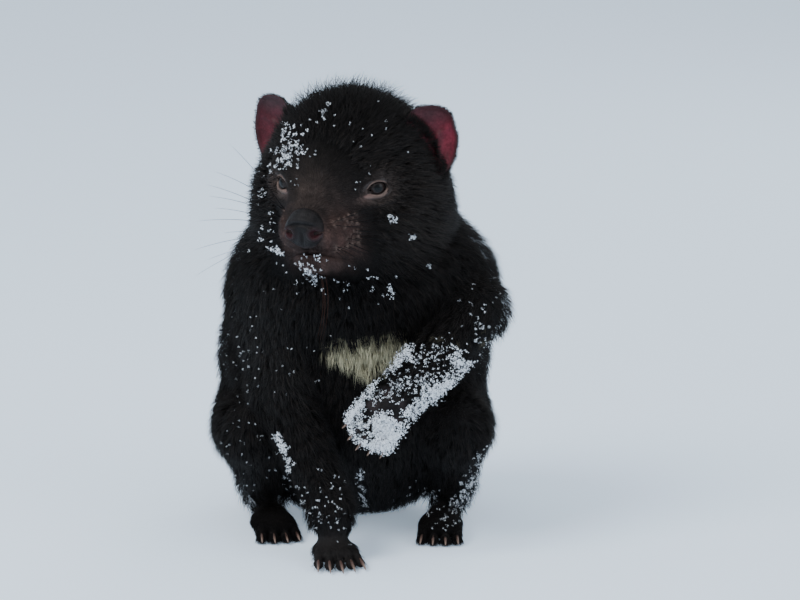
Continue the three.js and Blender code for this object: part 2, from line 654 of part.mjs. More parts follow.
function earShell(side, place) {
  const out = new THREE.Vector3(...place.out).normalize(); // where the cup faces
  const across = new THREE.Vector3(-0.4, 0.9 * side, 0).addScaledVector(out, 0).normalize();
  across.addScaledVector(out, -across.dot(out)).normalize();
  const up = out.clone().cross(across).multiplyScalar(side).normalize();
  const rings = 4, turns = 20, positions = [], triangles = [];
  const radiusAt = (angle) => {
    const c = Math.abs(Math.cos(angle)), s = Math.abs(Math.sin(angle)), power = 2.6;
    return (c ** power + s ** power) ** (-1 / power);
  };
  const put = (r, angle, back) => {
    const reach = r * radiusAt(angle), a = reach * Math.cos(angle), u = reach * Math.sin(angle);
    const narrow = 1 - 0.16 * Math.max(0, -u); // the lobe is narrower than the crown
    const sunk = EAR.cup * (1 - r * r) + back;
    const p = new THREE.Vector3(...place.at)
      .addScaledVector(across, a * EAR.width * narrow)
      .addScaledVector(up, u * EAR.height)
      .addScaledVector(out, -sunk)
      .applyMatrix4(headMatrix);
    positions.push(...p.toArray());
  };
  for (const face of [0, 1]) {
    put(0, 0, face * EAR.thick);
    for (let r = 1; r <= rings; r++) {
      const reach = face ? 1 - (1 - r / rings) ** 1.2 : r / rings;
      for (let n = 0; n < turns; n++) put(reach, (2 * Math.PI * n) / turns, face * EAR.thick);
    }
  }
  const start = 1 + rings * turns;
  const at = (face, r, n) => face * start + 1 + (r - 1) * turns + (n % turns);
  for (let n = 0; n < turns; n++) {
    triangles.push(0, at(0, 1, n), at(0, 1, n + 1), start, at(1, 1, n + 1), at(1, 1, n));
    for (let r = 1; r < rings; r++) {
      const quad = [at(0, r, n), at(0, r + 1, n), at(0, r + 1, n + 1), at(0, r, n + 1)];
      const under = [at(1, r, n), at(1, r, n + 1), at(1, r + 1, n + 1), at(1, r + 1, n)];
      for (const q of [quad, under]) triangles.push(q[0], q[1], q[2], q[0], q[2], q[3]);
    }
    const rim = [at(0, rings, n), at(1, rings, n), at(1, rings, n + 1), at(0, rings, n + 1)];
    triangles.push(rim[0], rim[1], rim[2], rim[0], rim[2], rim[3]);
  }
  return facingOut({ positions, triangles });
}
for (const [side, sign] of SIDES) {
  nodes['ear_' + side] = largest(solidOf(earShell(sign, EAR_PLACES[side])).subtract(headGrown));
}

// Claws: one curved horn at the end of each digit

function horn(from, way, under, length, sides = 6, rings = 4) {
  const start = plus(from, way, -4);
  const bend = plus(from, way, length * 0.55);
  const end = plus(plus(from, way, length), under, length * 0.42);
  const curve = new THREE.QuadraticBezierCurve3(...[start, bend, end].map((p) => new THREE.Vector3(...p)));
  const side = cross(way, under), positions = [], triangles = [];
  for (let r = 0; r < rings; r++) {
    const t = r / rings, p = curve.getPoint(t).toArray(), radius = 2.5 * (1 - t) ** 0.7 + 0.25;
    for (let n = 0; n < sides; n++) {
      const angle = (2 * Math.PI * n) / sides;
      positions.push(...plus(plus(p, side, radius * 0.8 * Math.cos(angle)), under, radius * Math.sin(angle)));
    }
  }
  const tip = positions.length / 3;
  positions.push(...end, ...start);
  for (let n = 0; n < sides; n++) {
    const next = (n + 1) % sides, last = (rings - 1) * sides;
    triangles.push(tip + 1, next, n, last + n, last + next, tip);
    for (let r = 0; r < rings - 1; r++) {
      const a = r * sides + n, b = r * sides + next;
      triangles.push(a, b, b + sides, a, b + sides, a + sides);
    }
  }
  return facingOut({ positions, triangles });
}

const PAW_NODES = {
  right_fore: ['forepaw_right', FORE_PAW], left_fore: ['forepaw_left', FORE_PAW],
  right_hind: ['hindfoot_right', HIND_PAW], left_hind: ['hindfoot_left', HIND_PAW],
};
for (const [key, [host, size]] of Object.entries(PAW_NODES)) {
  const { digits, under } = paws[key];
  const pawGrown = solidOf(grown(meshOf(nodes[host]), GAP));
  digits.forEach(({ tip, way }, i) => {
    const lifted = plus(tip, under, -1.5);
    const claw = solidOf(horn(lifted, way, under, size.claw)).subtract(pawGrown);
    nodes[`claw_${host}_${i + 1}`] = largest(claw).trimByPlane([0, 0, 1], 0.4);
  });
}

// The model: every node as a mesh with its own colour, over the middle of its footprint

const COLOURS = {
  coat: [0x17130f, 0.85], face: [0x2b211b, 0.8], ear: [0x6b2226, 0.6], eye: [0x120c08, 0.15],
  nose: [0x2a2526, 0.45], claw: [0x8a6a58, 0.5],
};
const colourOf = (name) => {
  if (name === 'head' || name === 'lower_jaw') return 'face';
  const kind = name.split('_')[0];
  return kind in COLOURS ? kind : 'coat';
};

const devil = new THREE.Group();
for (const [name, solid] of Object.entries(nodes)) {
  const { positions, triangles } = meshOf(solid);
  const geometry = new THREE.BufferGeometry()
    .setAttribute('position', new THREE.Float32BufferAttribute(positions, 3))
    .setIndex(triangles);
  const [color, roughness] = COLOURS[colourOf(name)];
  const mesh = new THREE.Mesh(geometry, new THREE.MeshStandardMaterial({ color, roughness, metalness: 0 }));
  mesh.name = name;
  devil.add(mesh);
}
const footprint = new THREE.Box3().setFromObject(devil);
const centre = footprint.getCenter(new THREE.Vector3());
devil.position.set(-centre.x, -centre.y, -footprint.min.z);

export default devil;
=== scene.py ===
# A young Tasmanian devil sitting up on its haunches, life size, as a still museum model.
# Shapes are worked out in millimetres in the animal's own frame, then set over its solids in metres.
import math
import bmesh
import bpy
import numpy as np
from mathutils import Matrix, Vector
from mathutils.kdtree import KDTree


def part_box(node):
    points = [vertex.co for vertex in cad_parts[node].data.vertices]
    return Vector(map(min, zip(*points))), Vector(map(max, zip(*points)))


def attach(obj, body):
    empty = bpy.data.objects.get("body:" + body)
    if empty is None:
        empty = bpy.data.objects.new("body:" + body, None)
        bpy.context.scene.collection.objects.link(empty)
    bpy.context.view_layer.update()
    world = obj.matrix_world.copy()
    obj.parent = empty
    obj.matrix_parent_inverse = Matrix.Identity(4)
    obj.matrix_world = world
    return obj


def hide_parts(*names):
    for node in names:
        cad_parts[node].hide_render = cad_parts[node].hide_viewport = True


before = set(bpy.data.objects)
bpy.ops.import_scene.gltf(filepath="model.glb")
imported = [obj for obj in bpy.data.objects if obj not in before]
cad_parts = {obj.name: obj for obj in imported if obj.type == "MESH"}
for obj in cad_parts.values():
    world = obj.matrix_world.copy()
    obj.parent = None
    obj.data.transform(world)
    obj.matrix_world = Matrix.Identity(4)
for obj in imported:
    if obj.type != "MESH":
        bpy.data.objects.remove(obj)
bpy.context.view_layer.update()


# Skin
# The whole hide in one piece: head, neck, body, limbs and tail, as it lies under the coat.
# It is drawn as smooth forms that run into each other, and lies below the hair tips by the coat's depth.

HEAD_CENTRE = np.array([0, -35, 269.0])
HEAD_YAW = 25
HEAD_PITCH = 5
HEAD_ROLL = 2
SIDES = (("right", -1), ("left", 1))
EYE_PLACES = {"right": np.array([36.4, -30.2, 8.4]), "left": np.array([32.4, 37.2, 6.7])}
EYE_RADIUS = 7.6
LID_THICKNESS = 1.9
EYE_OPENING_RADIUS = 8.4
RIGHT_ARM = ((-54, -20, 181), (-50, -48, 118), (-15, -90, 40))
LEFT_ARM = ((68, -12, 190), (91.5, -35, 174), (51, -88, 134))
ARM_RADII = (37, 26, 17.5)
RIGHT_LEG = ((-58, 58, 70), (-74, -26, 82), (-66, 26, 27))
LEFT_LEG = ((58, 58, 70), (78, -32, 84), (74, 20, 28))
LEG_RADII = (46, 29, 20)
TAIL_PATH = ((0, 98, 30), (-6, 146, 21.5), (-28, 192, 14), (-66, 226, 7))
TAIL_RADII = (31, 22.5, 15, 7.5)
FORE_PAW = {"length": 38, "width": 36, "digits": 5, "reach": 17, "radius": 4.6, "drop": 4.6, "claw": 11}
HIND_PAW = {"length": 50, "width": 33, "digits": 4, "reach": 15, "radius": 5.0, "drop": 4.4, "claw": 9}
PAW_THICKNESS = 19
PAW_PLACES = {
    "forepaw_right": ((-11, -103, 9), (0.18, -0.98, 0), (0, 0, -1), FORE_PAW),
    "forepaw_left": ((29, -94, 113), (-0.62, -0.16, -0.76), (-0.1, -0.97, 0.14), FORE_PAW),
    "hindfoot_right": ((-58, -22, 9), (0.2, -0.98, 0), (0, 0, -1), HIND_PAW),
    "hindfoot_left": ((67, -28, 9), (-0.04, -1, 0), (0, 0, -1), HIND_PAW),
}
SOLE_HEIGHT = 0.2
EYE_OPENING_AHEAD = 9.5
# How far the skin lies below the hair tips on the body, on the face and paws, and at the eyes.
COAT_DEPTH = 7.5
FACE_DEPTH = 1.6
LID_DEPTH = 1.2
SKIN_STEP = 2.75
BODY_LOW = (-126, -150, -8)
BODY_HIGH = (134, 248, 352)


def unit(vectors):
    vectors = np.asarray(vectors, float)
    return vectors / (np.linalg.norm(vectors, axis=-1, keepdims=True) + 1e-12)


def smooth(value, low, high):
    t = np.clip((value - low) / (high - low), 0, 1)
    return t * t * (3 - 2 * t)


def bell(value, centre, width):
    """1 where a value is at the centre, falling to 0 on both sides over about the width."""
    return np.exp(-(((value - centre) / width) ** 2))


EYE_OUT = unit((0.81, 0.59, 0.06))
head_turn = (
    Matrix.Rotation(-math.radians(HEAD_YAW), 3, "Z")
    @ Matrix.Rotation(math.radians(HEAD_PITCH), 3, "X")
    @ Matrix.Rotation(-math.radians(HEAD_ROLL), 3, "Y")
)
HEAD_AXES = np.array([head_turn @ Vector(way) for way in ((0, -1, 0), (1, 0, 0), (0, 0, 1))])


def from_head(place):
    return HEAD_CENTRE + np.asarray(place) @ HEAD_AXES


def to_head(points):
    return (points - HEAD_CENTRE) @ HEAD_AXES.T


def to_half_head(points):
    """Places in the head with its right side folded onto its left."""
    place = to_head(points)
    place[:, 1] = np.abs(place[:, 1])
    return place


def ellipsoid(points, centre, radii):
    reach = (points - np.array(centre)) / np.array(radii)
    near = np.sqrt((reach**2).sum(1))
    slope = np.sqrt(((reach / np.array(radii)) ** 2).sum(1)) + 1e-9
    return near * (near - 1) / slope


def taper(points, start, end, start_radius, end_radius):
    along = np.array(end, float) - start
    length = along @ along
    drop = start_radius - end_radius
    side = length - drop * drop
    offset = points - np.array(start, float)
    down = offset @ along
    past = down - length
    away = ((offset * length - down[:, None] * along) ** 2).sum(1)
    limit = math.copysign(drop * drop, drop) * away
    at_end = np.sqrt(away + past**2 * length) / length - end_radius
    at_start = np.sqrt(away + down**2 * length) / length - start_radius
    at_side = (np.sqrt(away * side / length) + down * drop) / length - start_radius
    before_end = np.where(down * np.abs(down) * length * side < limit, at_start, at_side)
    return np.where(past * np.abs(past) * length * side > limit, at_end, before_end)


def blend(width, *distances):
    joined = distances[0]
    for other in distances[1:]:
        overlap = np.maximum(width - np.abs(joined - other), 0)
        joined = np.minimum(joined, other) - overlap**2 / (4 * width)
    return joined


def hollowed(width, form, hollow):
    return -blend(width, -form, hollow)


def head_form(points):
    place = to_half_head(points)
    cranium = blend(
        14,
        ellipsoid(place, (-6, 0, 14), (58, 60, 58)),
        ellipsoid(place, (-6, 36, -14), (49, 38, 44)),
        ellipsoid(place, (26, 0, 13), (34, 42, 32)),
        ellipsoid(place, (12, 24, -40), (36, 33, 29)),
    )
    muzzle = blend(
        8,
        taper(place, (34, 0, -10), (65, 0, -14), 34, 18),
        ellipsoid(place, (61, 13, -20), (19, 15, 15)),
        ellipsoid(place, (57, 0, -42), (17, 17, 11)),
        taper(place, (24, 24, -42), (54, 8, -41), 18, 12),
    )
    form = blend(10, cranium, muzzle)
    place = to_head(points)
    for side, sign in SIDES:
        eye = EYE_PLACES[side]
        brow = ellipsoid(place, eye + (-0.5, -4 * sign, 11.3), (10, 14, 6))
        socket = ellipsoid(place, eye + (17.5, 10 * sign, -0.7), (16, 14, 12))
        lid = ellipsoid(place, eye, (EYE_RADIUS + LID_THICKNESS,) * 3)
        form = blend(4, hollowed(7, blend(10, form, brow), socket), lid)
    return form


def paw_axes(forward, sole):
    ahead = unit(forward)
    under = unit(np.array(sole) - ahead * np.dot(sole, ahead))
    return ahead, np.cross(ahead, under), under


def paw_digits(name):
    """The root, the tip and the heading of each digit, from the inner side of the paw to the outer."""
    palm, forward, sole, size = PAW_PLACES[name]
    ahead, across, under = paw_axes(forward, sole)
    for number in range(size["digits"]):
        place = number - (size["digits"] - 1) / 2
        step = size["width"] / (size["digits"] + 0.4)
        way = unit(ahead + across * 0.09 * place)
        root = np.array(palm) + ahead * (size["length"] * 0.3 - abs(place)) + across * place * step
        tip = root + way * size["reach"] * (1 - 0.06 * place**2) + under * size["drop"]
        yield root + under * size["drop"] * 0.2, tip, way


def paw_form(points, name):
    palm, forward, sole, size = PAW_PLACES[name]
    inner = (points - np.array(palm)) @ np.array(paw_axes(forward, sole)).T
    half = (size["length"] / 2, size["width"] / 2, PAW_THICKNESS / 2)
    thick = size["radius"]
    digits = [taper(points, root, tip, thick + 0.4, thick - 0.4) for root, tip, way in paw_digits(name)]
    return blend(4, ellipsoid(inner, (0, 0, 0), half), blend(1.5, *digits))


def arm_form(points, joints, name):
    shoulder, elbow, wrist = joints
    shoulder_radius, elbow_radius, wrist_radius = ARM_RADII
    palm = PAW_PLACES[name][0]
    bones = blend(
        10,
        taper(points, shoulder, elbow, shoulder_radius, elbow_radius),
        taper(points, elbow, wrist, elbow_radius - 1, wrist_radius),
        taper(points, wrist, palm, wrist_radius, 9),
    )
    return blend(6, bones, paw_form(points, name))


def foot_form(points, joints, name):
    knee, ankle = joints[1:]
    knee_radius, ankle_radius = LEG_RADII[1:]
    heel = (ankle[0], ankle[1] + 8, 12.5)
    bones = blend(
        8,
        taper(points, knee, ankle, knee_radius - 3, ankle_radius),
        taper(points, ankle, heel, ankle_radius, 13),
        taper(points, heel, PAW_PLACES[name][0], 13, 10),
    )
    return blend(6, bones, paw_form(points, name))


def tail_form(points):
    lengths = zip(TAIL_PATH, TAIL_PATH[1:], TAIL_RADII, TAIL_RADII[1:])
    return blend(8, *[taper(points, *length) for length in lengths])


def torso_form(points):
    shoulders = blend(
        20,
        ellipsoid(points, (-48, -4, 184), (42, 46, 46)),
        ellipsoid(points, (64, -4, 190), (46, 46, 46)),
    )
    trunk = blend(
        26,
        ellipsoid(points, (0, -2, 178), (82, 74, 62)),
        ellipsoid(points, (3, 34, 132), (102, 68, 92)),
        ellipsoid(points, (0, 18, 108), (88, 82, 78)),
        ellipsoid(points, (0, 54, 62), (88, 68, 66)),
        shoulders,
    )
    return blend(30, trunk, taper(points, (3, -24, 242), (3, 12, 200), 60, 74))


def regions(points):
    """How far each part of the body is, at its hair tips."""
    thighs = [taper(points, *joints[:2], *LEG_RADII[:2]) for joints in (RIGHT_LEG, LEFT_LEG)]
    return {
        "head": head_form(points),
        "torso": torso_form(points),
        "thigh_right": thighs[0],
        "thigh_left": thighs[1],
        "tail": tail_form(points),
        "arm_right": arm_form(points, RIGHT_ARM, "forepaw_right"),
        "arm_left": arm_form(points, LEFT_ARM, "forepaw_left"),
        "foot_right": foot_form(points, RIGHT_LEG, "hindfoot_right"),
        "foot_left": foot_form(points, LEFT_LEG, "hindfoot_left"),
    }


def hair_tips(points):
    part = regions(points)
    trunk = blend(16, part["torso"], part["head"])
    haunches = blend(14, part["thigh_right"], part["thigh_left"])
    hind = blend(22, blend(18, trunk, haunches), part["tail"])
    arms = blend(4, part["arm_right"], part["arm_left"])
    feet = blend(4, part["foot_right"], part["foot_left"])
    return blend(5, blend(10, hind, arms), feet)


def paw_nearness(points):
    """1 on the digits and palms, falling to 0 up the limb."""
    near = np.zeros(len(points))
    for palm, forward, sole, size in PAW_PLACES.values():
        middle = np.array(palm) + unit(forward) * 8
        near = np.maximum(near, 1 - smooth(np.linalg.norm(points - middle, axis=1), 19, 41))
    return near


def face_nearness(points):
    """1 on the muzzle and around the eyes, falling to 0 on the crown and cheeks."""
    place = to_half_head(points)
    front = smooth(place[:, 0] - 0.3 * place[:, 1] - 0.35 * np.maximum(place[:, 2], 0), 8, 44)
    return front * smooth(place[:, 2], -74, -54)


def eye_distance(points):
    place = to_head(points)
    return np.min([np.linalg.norm(place - eye, axis=1) for eye in EYE_PLACES.values()], 0)


def crown_share(points):
    """1 on top of the head, where the hair stands up, falling to 0 at the brows, ears and nape."""
    place = to_head(points)
    return smooth(place[:, 2], 30, 56) * smooth(place[:, 0], -70, -40)


def coat_depth(points):
    """How far the skin lies below the hair tips."""
    depth = COAT_DEPTH + 4 * crown_share(points) - 4.2 * smooth(points[:, 1], 105, 150)
    depth = depth + (FACE_DEPTH - depth) * face_nearness(points)
    depth = depth + (LID_DEPTH - depth) * (1 - smooth(eye_distance(points), 12, 24))
    return depth + (FACE_DEPTH - depth) * paw_nearness(points)


def skin_form(points):
    hide = np.maximum(hair_tips(points) + coat_depth(points), SOLE_HEIGHT - points[:, 2])
    place = to_head(points)
    for side, sign in SIDES:
        front = EYE_PLACES[side] + EYE_OPENING_AHEAD * EYE_OUT * (1, sign, 1)
        hide = np.maximum(hide, -ellipsoid(place, front, (EYE_OPENING_RADIUS,) * 3))
    return hide


def net(form, low, high, step, block=4):
    """The surface where a form is zero, as points and quads, found on a grid of the given step."""
    low = np.array(low, float)
    blocks = np.ceil((np.array(high) - low) / step / block).astype(int) + 1
    corners = np.stack(np.meshgrid(*[np.arange(n) for n in blocks], indexing="ij"), -1)
    rough = form(low + corners.reshape(-1, 3) * step * block).reshape(blocks)
    values = rough.repeat(block, 0).repeat(block, 1).repeat(block, 2)
    near = np.argwhere(np.abs(values) < 2 * block * step)
    values[tuple(near.T)] = form(low + near * step)
    inside = values < 0
    cells = []
    crossings = []
    turned = []
    for axis in range(3):
        before = tuple(slice(0, -1) if i == axis else slice(None) for i in range(3))
        after = tuple(slice(1, None) if i == axis else slice(None) for i in range(3))
        crossed = inside[before] != inside[after]
        start = np.argwhere(crossed)
        first = values[before][crossed]
        share = first / (first - values[after][crossed])
        point = start.astype(float)
        point[:, axis] += share
        one, two = [i for i in range(3) if i != axis]
        ring = []
        for back_one, back_two in ((0, 0), (1, 0), (1, 1), (0, 1)):
            cell = start.copy()
            cell[:, one] -= back_one
            cell[:, two] -= back_two
            ring.append(np.ravel_multi_index(cell.T, values.shape))
        cells.append(np.stack(ring, 1))
        crossings.append(np.repeat(point[:, None], 4, 1))
        turned.append((first < 0) == (axis == 1))
    cells = np.concatenate(cells)
    crossings = np.concatenate(crossings).reshape(-1, 3)
    turned = np.concatenate(turned)
    quads = np.unique(cells.ravel(), return_inverse=True)[1]
    count = np.bincount(quads)
    points = np.stack([np.bincount(quads, crossings[:, i]) / count for i in range(3)], 1)
    quads = quads.reshape(-1, 4)
    quads[turned] = quads[turned][:, ::-1]
    return low + points * step, quads


def uphill(form, points, reach=0.5):
    slope = [form(points + step) - form(points - step) for step in np.eye(3) * reach]
    return np.stack(slope, 1) / (2 * reach)


def settled(form, points, rounds=2):
    """Points moved straight onto the surface of a form."""
    for _ in range(rounds):
        slope = uphill(form, points)
        points = points - slope * (form(points) / ((slope**2).sum(1) + 1e-6))[:, None]
    return points


eye_low, eye_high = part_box("eye_left")
SHIFT = np.array((eye_low + eye_high) / 2) * 1000 - from_head(EYE_PLACES["left"])


def volume(points, faces):
    first = points[faces[:, 0]]
    fans = zip(faces.T[1:], faces.T[2:])
    return sum((first * np.cross(points[one], points[two])).sum() for one, two in fans)


def place_points(mesh, points):
    """Puts a mesh's points, in metres, at places in millimetres in the animal's own frame."""
    mesh.vertices.foreach_set("co", ((points + SHIFT) / 1000).astype(np.float32).ravel())


def new_piece(name, points, faces):
    """A smooth mesh object from points in millimetres and faces that all have as many corners."""
    if volume(points, faces) < 0:
        faces = faces[:, ::-1].copy()
    mesh = bpy.data.meshes.new(name)
    mesh.vertices.add(len(points))
    place_points(mesh, points)
    mesh.loops.add(faces.size)
    mesh.loops.foreach_set("vertex_index", faces.astype(np.int32).ravel())
    mesh.polygons.add(len(faces))
    mesh.polygons.foreach_set("loop_start", np.arange(0, faces.size, faces.shape[1], dtype=np.int32))
    mesh.polygons.foreach_set("use_smooth", np.full(len(faces), True))
    mesh.update(calc_edges=True)
    piece = bpy.data.objects.new(name, mesh)
    bpy.context.scene.collection.objects.link(piece)
    return piece


def read(items, field, width, kind=float):
    """One field of all a mesh's points, triangles or corners, as rows of the given width."""
    values = np.zeros(len(items) * width, kind)
    items.foreach_get(field, values)
    return values.reshape(-1, width)


def points_of(piece):
    return read(piece.data.vertices, "co", 3) * 1000 - SHIFT


def paint(piece, colours):
    """Stores one colour for each point, for the piece's material to read."""
    shade = np.ones((len(colours), 4), np.float32)
    shade[:, :3] = colours
    layer = piece.data.attributes.new("coat_colour", "FLOAT_COLOR", "POINT")
    layer.data.foreach_set("color", shade.ravel())


def mixed(colour, new, share):
    """A colour for each point, taken the given share of the way to a new one."""
    return colour + (new - colour) * share[:, None]


skin_points, skin_quads = net(skin_form, BODY_LOW, BODY_HIGH, SKIN_STEP)
skin = new_piece("skin", settled(skin_form, skin_points), skin_quads)

bpy.context.view_layer.objects.active = skin
skin.select_set(True)
skin.data.uv_layers.new(name="OFBake")
bpy.ops.object.mode_set(mode="EDIT")
bpy.ops.mesh.select_all(action="SELECT")
bpy.ops.uv.smart_project(angle_limit=math.radians(66), island_margin=0.004)
bpy.ops.object.mode_set(mode="OBJECT")


def on_front_of_head(points):
    place = to_head(points)
    return (place[:, 0] > 27) & (place[:, 2] > -60) & (np.abs(place[:, 1]) < 48)


def on_paws(points):
    return paw_nearness(points) > 0.35


# The face and the paws are drawn finer than the rest of the hide.
hide_mesh = bmesh.new()
hide_mesh.from_mesh(skin.data)
for chosen, cuts in ((on_front_of_head, 3), (on_paws, 1)):
    hide_mesh.faces.ensure_lookup_table()
    middles = np.array([face.calc_center_median() for face in hide_mesh.faces]) * 1000 - SHIFT
    edges = {edge for index in np.flatnonzero(chosen(middles)) for edge in hide_mesh.faces[index].edges}
    bmesh.ops.subdivide_edges(hide_mesh, edges=list(edges), cuts=cuts, use_grid_fill=True)
hide_mesh.to_mesh(skin.data)
hide_mesh.free()

MOUTH_FRONT = (74, -35)
MOUTH_CORNER = (48, -44)
MOUTH_HALF = 30
WHISKER_ROWS = 5
WHISKER_COLUMNS = 5


def mouth_height(place):
    """How far a place in the half head is above the line of the mouth."""
    slant = (MOUTH_FRONT[1] - MOUTH_CORNER[1]) / (MOUTH_FRONT[0] - MOUTH_CORNER[0])
    line = MOUTH_FRONT[1] - slant * (MOUTH_FRONT[0] - place[:, 0])
    return place[:, 2] - line - 1.2 * np.cos(np.clip(place[:, 1] / 8, 0, np.pi))


# Rows of whisker roots on the left side of the muzzle, in the head's own measures.
whisker_roots = np.array(
    [
        (69 - 4.4 * column - 1.1 * row, 17 + 2.3 * column, -12 - 5.4 * row + 0.6 * column)
        for row in range(WHISKER_ROWS)
        for column in range(WHISKER_COLUMNS)
    ]
)
draw = np.random.default_rng(9)
whisker_roots = whisker_roots + draw.normal(0, 0.7, whisker_roots.shape)
whisker_roots = to_head(settled(skin_form, from_head(whisker_roots), 5))
small_roots = whisker_roots + draw.normal(0, 2.6, whisker_roots.shape)
small_roots = to_head(settled(skin_form, from_head(small_roots), 5))


def around_place(place, centre, radii):
    return np.exp(-(((place - np.array(centre)) / np.array(radii)) ** 2).sum(1))


def whisker_pad(points):
    """1 in the middle of the swelling that holds the whiskers, falling to 0 around it."""
    return around_place(to_half_head(points), (63, 19, -24), (20, 13, 17))


def whisker_spots(points, radius):
    """1 at each whisker root and 0.6 at each small one, falling off over the radius."""
    place = to_half_head(points)
    spots = np.zeros(len(points))
    for roots, share in ((whisker_roots, 1), (small_roots, 0.6)):
        for root in roots:
            spots = np.maximum(spots, share * around_place(place, root, radius * share))
    return spots


def sole_pads(points):
    """1 on the bare pads under the digits and palms, and 0 elsewhere."""
    strength = np.zeros(len(points))
    for name, (palm, forward, sole, size) in PAW_PLACES.items():
        ahead, across, under = paw_axes(forward, sole)
        half = size["width"] / 2
        pads = [(tip - way * 2, 3.9) for root, tip, way in paw_digits(name)]
        for step in (-0.6, 0, 0.6):
            forwards = size["length"] * 0.22 - 5 * abs(step)
            pads.append((palm + ahead * forwards + across * half * step, 5.2))
        for step in (-0.4, 0.4):
            pads.append((palm - ahead * size["length"] * 0.24 + across * half * step, 5.0))
        lower = (points - palm) @ under
        facing_down = smooth(lower, 2, 5) * (1 - smooth(lower, 12, 16))
        for centre, radius in pads:
            off = points - centre
            far = np.linalg.norm(off - np.outer(off @ under, under), axis=1)
            strength = np.maximum(strength, smooth(radius - far, -0.6, 1.4) * facing_down)
    return strength


def relief(points):
    """How far the skin of the face and paws stands out or in, in millimetres."""
    place = to_half_head(points)
    above = mouth_height(place)
    ahead = smooth(place[:, 0], 42, 52) * (1 - smooth(place[:, 1], MOUTH_HALF - 8, MOUTH_HALF))
    front = smooth(place[:, 0], 62, 72)
    lips = 0.5 * bell(above, 3.0, 2.2) + 0.7 * bell(above, -3.2, 2.6)
    height = ahead * (lips - (0.9 + 1.2 * front) * bell(above, 0, 0.9))
    cleft = bell(place[:, 1], 0, 1.0) * smooth(place[:, 0], 66, 72)
    height -= cleft * smooth(above, 0, 2) * (1 - smooth(above, 6, 9))
    height += 1.2 * whisker_spots(points, 1.6)
    around = eye_distance(points)
    height += 0.3 * np.sin(around * 2.1) * smooth(around, 13, 15) * (1 - smooth(around, 18, 24))
    return height * face_nearness(points) + 1.1 * sole_pads(points)


whole = points_of(skin)
refined = (to_head(whole)[:, 0] > 20) | (paw_nearness(whole) > 0.2)
face_points = settled(skin_form, whole[refined])
whole[refined] = face_points + unit(uphill(skin_form, face_points)) * relief(face_points)[:, None]
whole[:, 2] = np.maximum(whole[:, 2], SOLE_HEIGHT)
place_points(skin.data, whole)
skin.data.update()


def ripple(points, size, seed, waves=6):
    """A smooth random value, mostly between -1 and 1, that changes over about the given size."""
    draw = np.random.default_rng(seed)
    ways = unit(draw.normal(size=(waves, 3))).T * 2 * np.pi / size
    return np.sin(points @ ways + draw.uniform(0, 2 * np.pi, waves)).mean(1) * 1.6


COAT_BLACK = np.array([0.0108, 0.0092, 0.0086])
BRIDGE_BROWN = np.array([0.062, 0.045, 0.039])
WHISKER_PAD_BROWN = np.array([0.082, 0.043, 0.035])
SPOT_BEIGE = np.array([0.175, 0.122, 0.098])
CHIN_PINK = np.array([0.125, 0.074, 0.062])
EYE_CORNER_PINK = np.array([0.135, 0.085, 0.072])
CREAM = np.array([0.55, 0.49, 0.32])
CRESCENT_TOP = ((-28, -20, -10, 12, 34, 44), (142, 153, 157, 159, 161, 159))
CRESCENT_FOOT = ((-28, -20, -3, 11, 25, 36, 44), (160, 149, 140, 129, 141, 153, 161))
# A painted sheen, lighter grey, on the right shoulder's coat.
SHOULDER_PAINTED_SHEEN = np.array([0.030, 0.028, 0.027])
CHEEK_BROWN = np.array([0.026, 0.021, 0.018])
# A painted shadow, darker than the coat, on the breast under the head.
BREAST_PAINTED_SHADOW = np.array([0.0055, 0.0047, 0.0045])
PAW_BROWN = np.array([0.010, 0.0082, 0.0076])
PAD_GREY = np.array([0.026, 0.019, 0.019])


def markings(points):
    """The colour of the hide and of its hair, with painted sheen on a shoulder and painted shadow on the
    breast.
    """
    place = to_half_head(points)
    patchy = 1 + 0.4 * ripple(points, 10, 3)
    colour = np.tile(COAT_BLACK, (len(points), 1))

    def lay(new, mask):
        colour[:] = mixed(colour, new, np.clip(mask, 0, 1))

    ahead = smooth(place[:, 0], 36, 50)
    lay(BRIDGE_BROWN, 0.9 * patchy * ahead * around_place(place, (60, 0, 0), (26, 23, 20)))
    lay(WHISKER_PAD_BROWN, 1.1 * patchy * ahead * whisker_pad(points))
    lay(CHIN_PINK, 1.2 * patchy * ahead * around_place(place, (63, 0, -45), (17, 19, 10)))
    lay(CHIN_PINK, 0.6 * around_place(place, (50, 27, -36), (5, 5, 4)))
    lay(BRIDGE_BROWN, 0.8 * bell(eye_distance(points), 10, 5))
    for side, sign in SIDES:
        corner = EYE_PLACES[side] + (7, -8 * sign, -6.5)
        lay(EYE_CORNER_PINK, 1.1 * around_place(to_head(points), corner, (9, 6, 3.6)))
    lay(CHEEK_BROWN, 0.8 * patchy * around_place(to_head(points), (14, 52, -24), (34, 24, 36)))
    # Painted sheen: the coat of the right shoulder is painted lighter, where the light catches it.
    lay(SHOULDER_PAINTED_SHEEN, 0.7 * around_place(points, (-62, -40, 168), (34, 60, 48)))
    lay(PAW_BROWN, paw_nearness(points))
    lay(PAD_GREY, sole_pads(points))
    # Painted shadow: the breast and throat under the head are painted darker than the rest of the coat.
    lay(BREAST_PAINTED_SHADOW, 0.8 * around_place(points, (5, -66, 190), (62, 42, 46)))
    jitter = 2.0 * ripple(points, 9, 5)
    below = np.interp(points[:, 0], *CRESCENT_TOP) - points[:, 2] + jitter
    above = points[:, 2] - np.interp(points[:, 0], *CRESCENT_FOOT) + jitter
    crescent = smooth(np.minimum(below, above), -1.5, 3)
    chest = (points[:, 1] < -50) & (to_head(points)[:, 2] < -70) & (np.abs(points[:, 2] - 146) < 26)
    lay(CREAM, crescent * chest)
    return colour


paint(skin, mixed(markings(whole), SPOT_BEIGE, 0.95 * whisker_spots(whole, 1.5)))


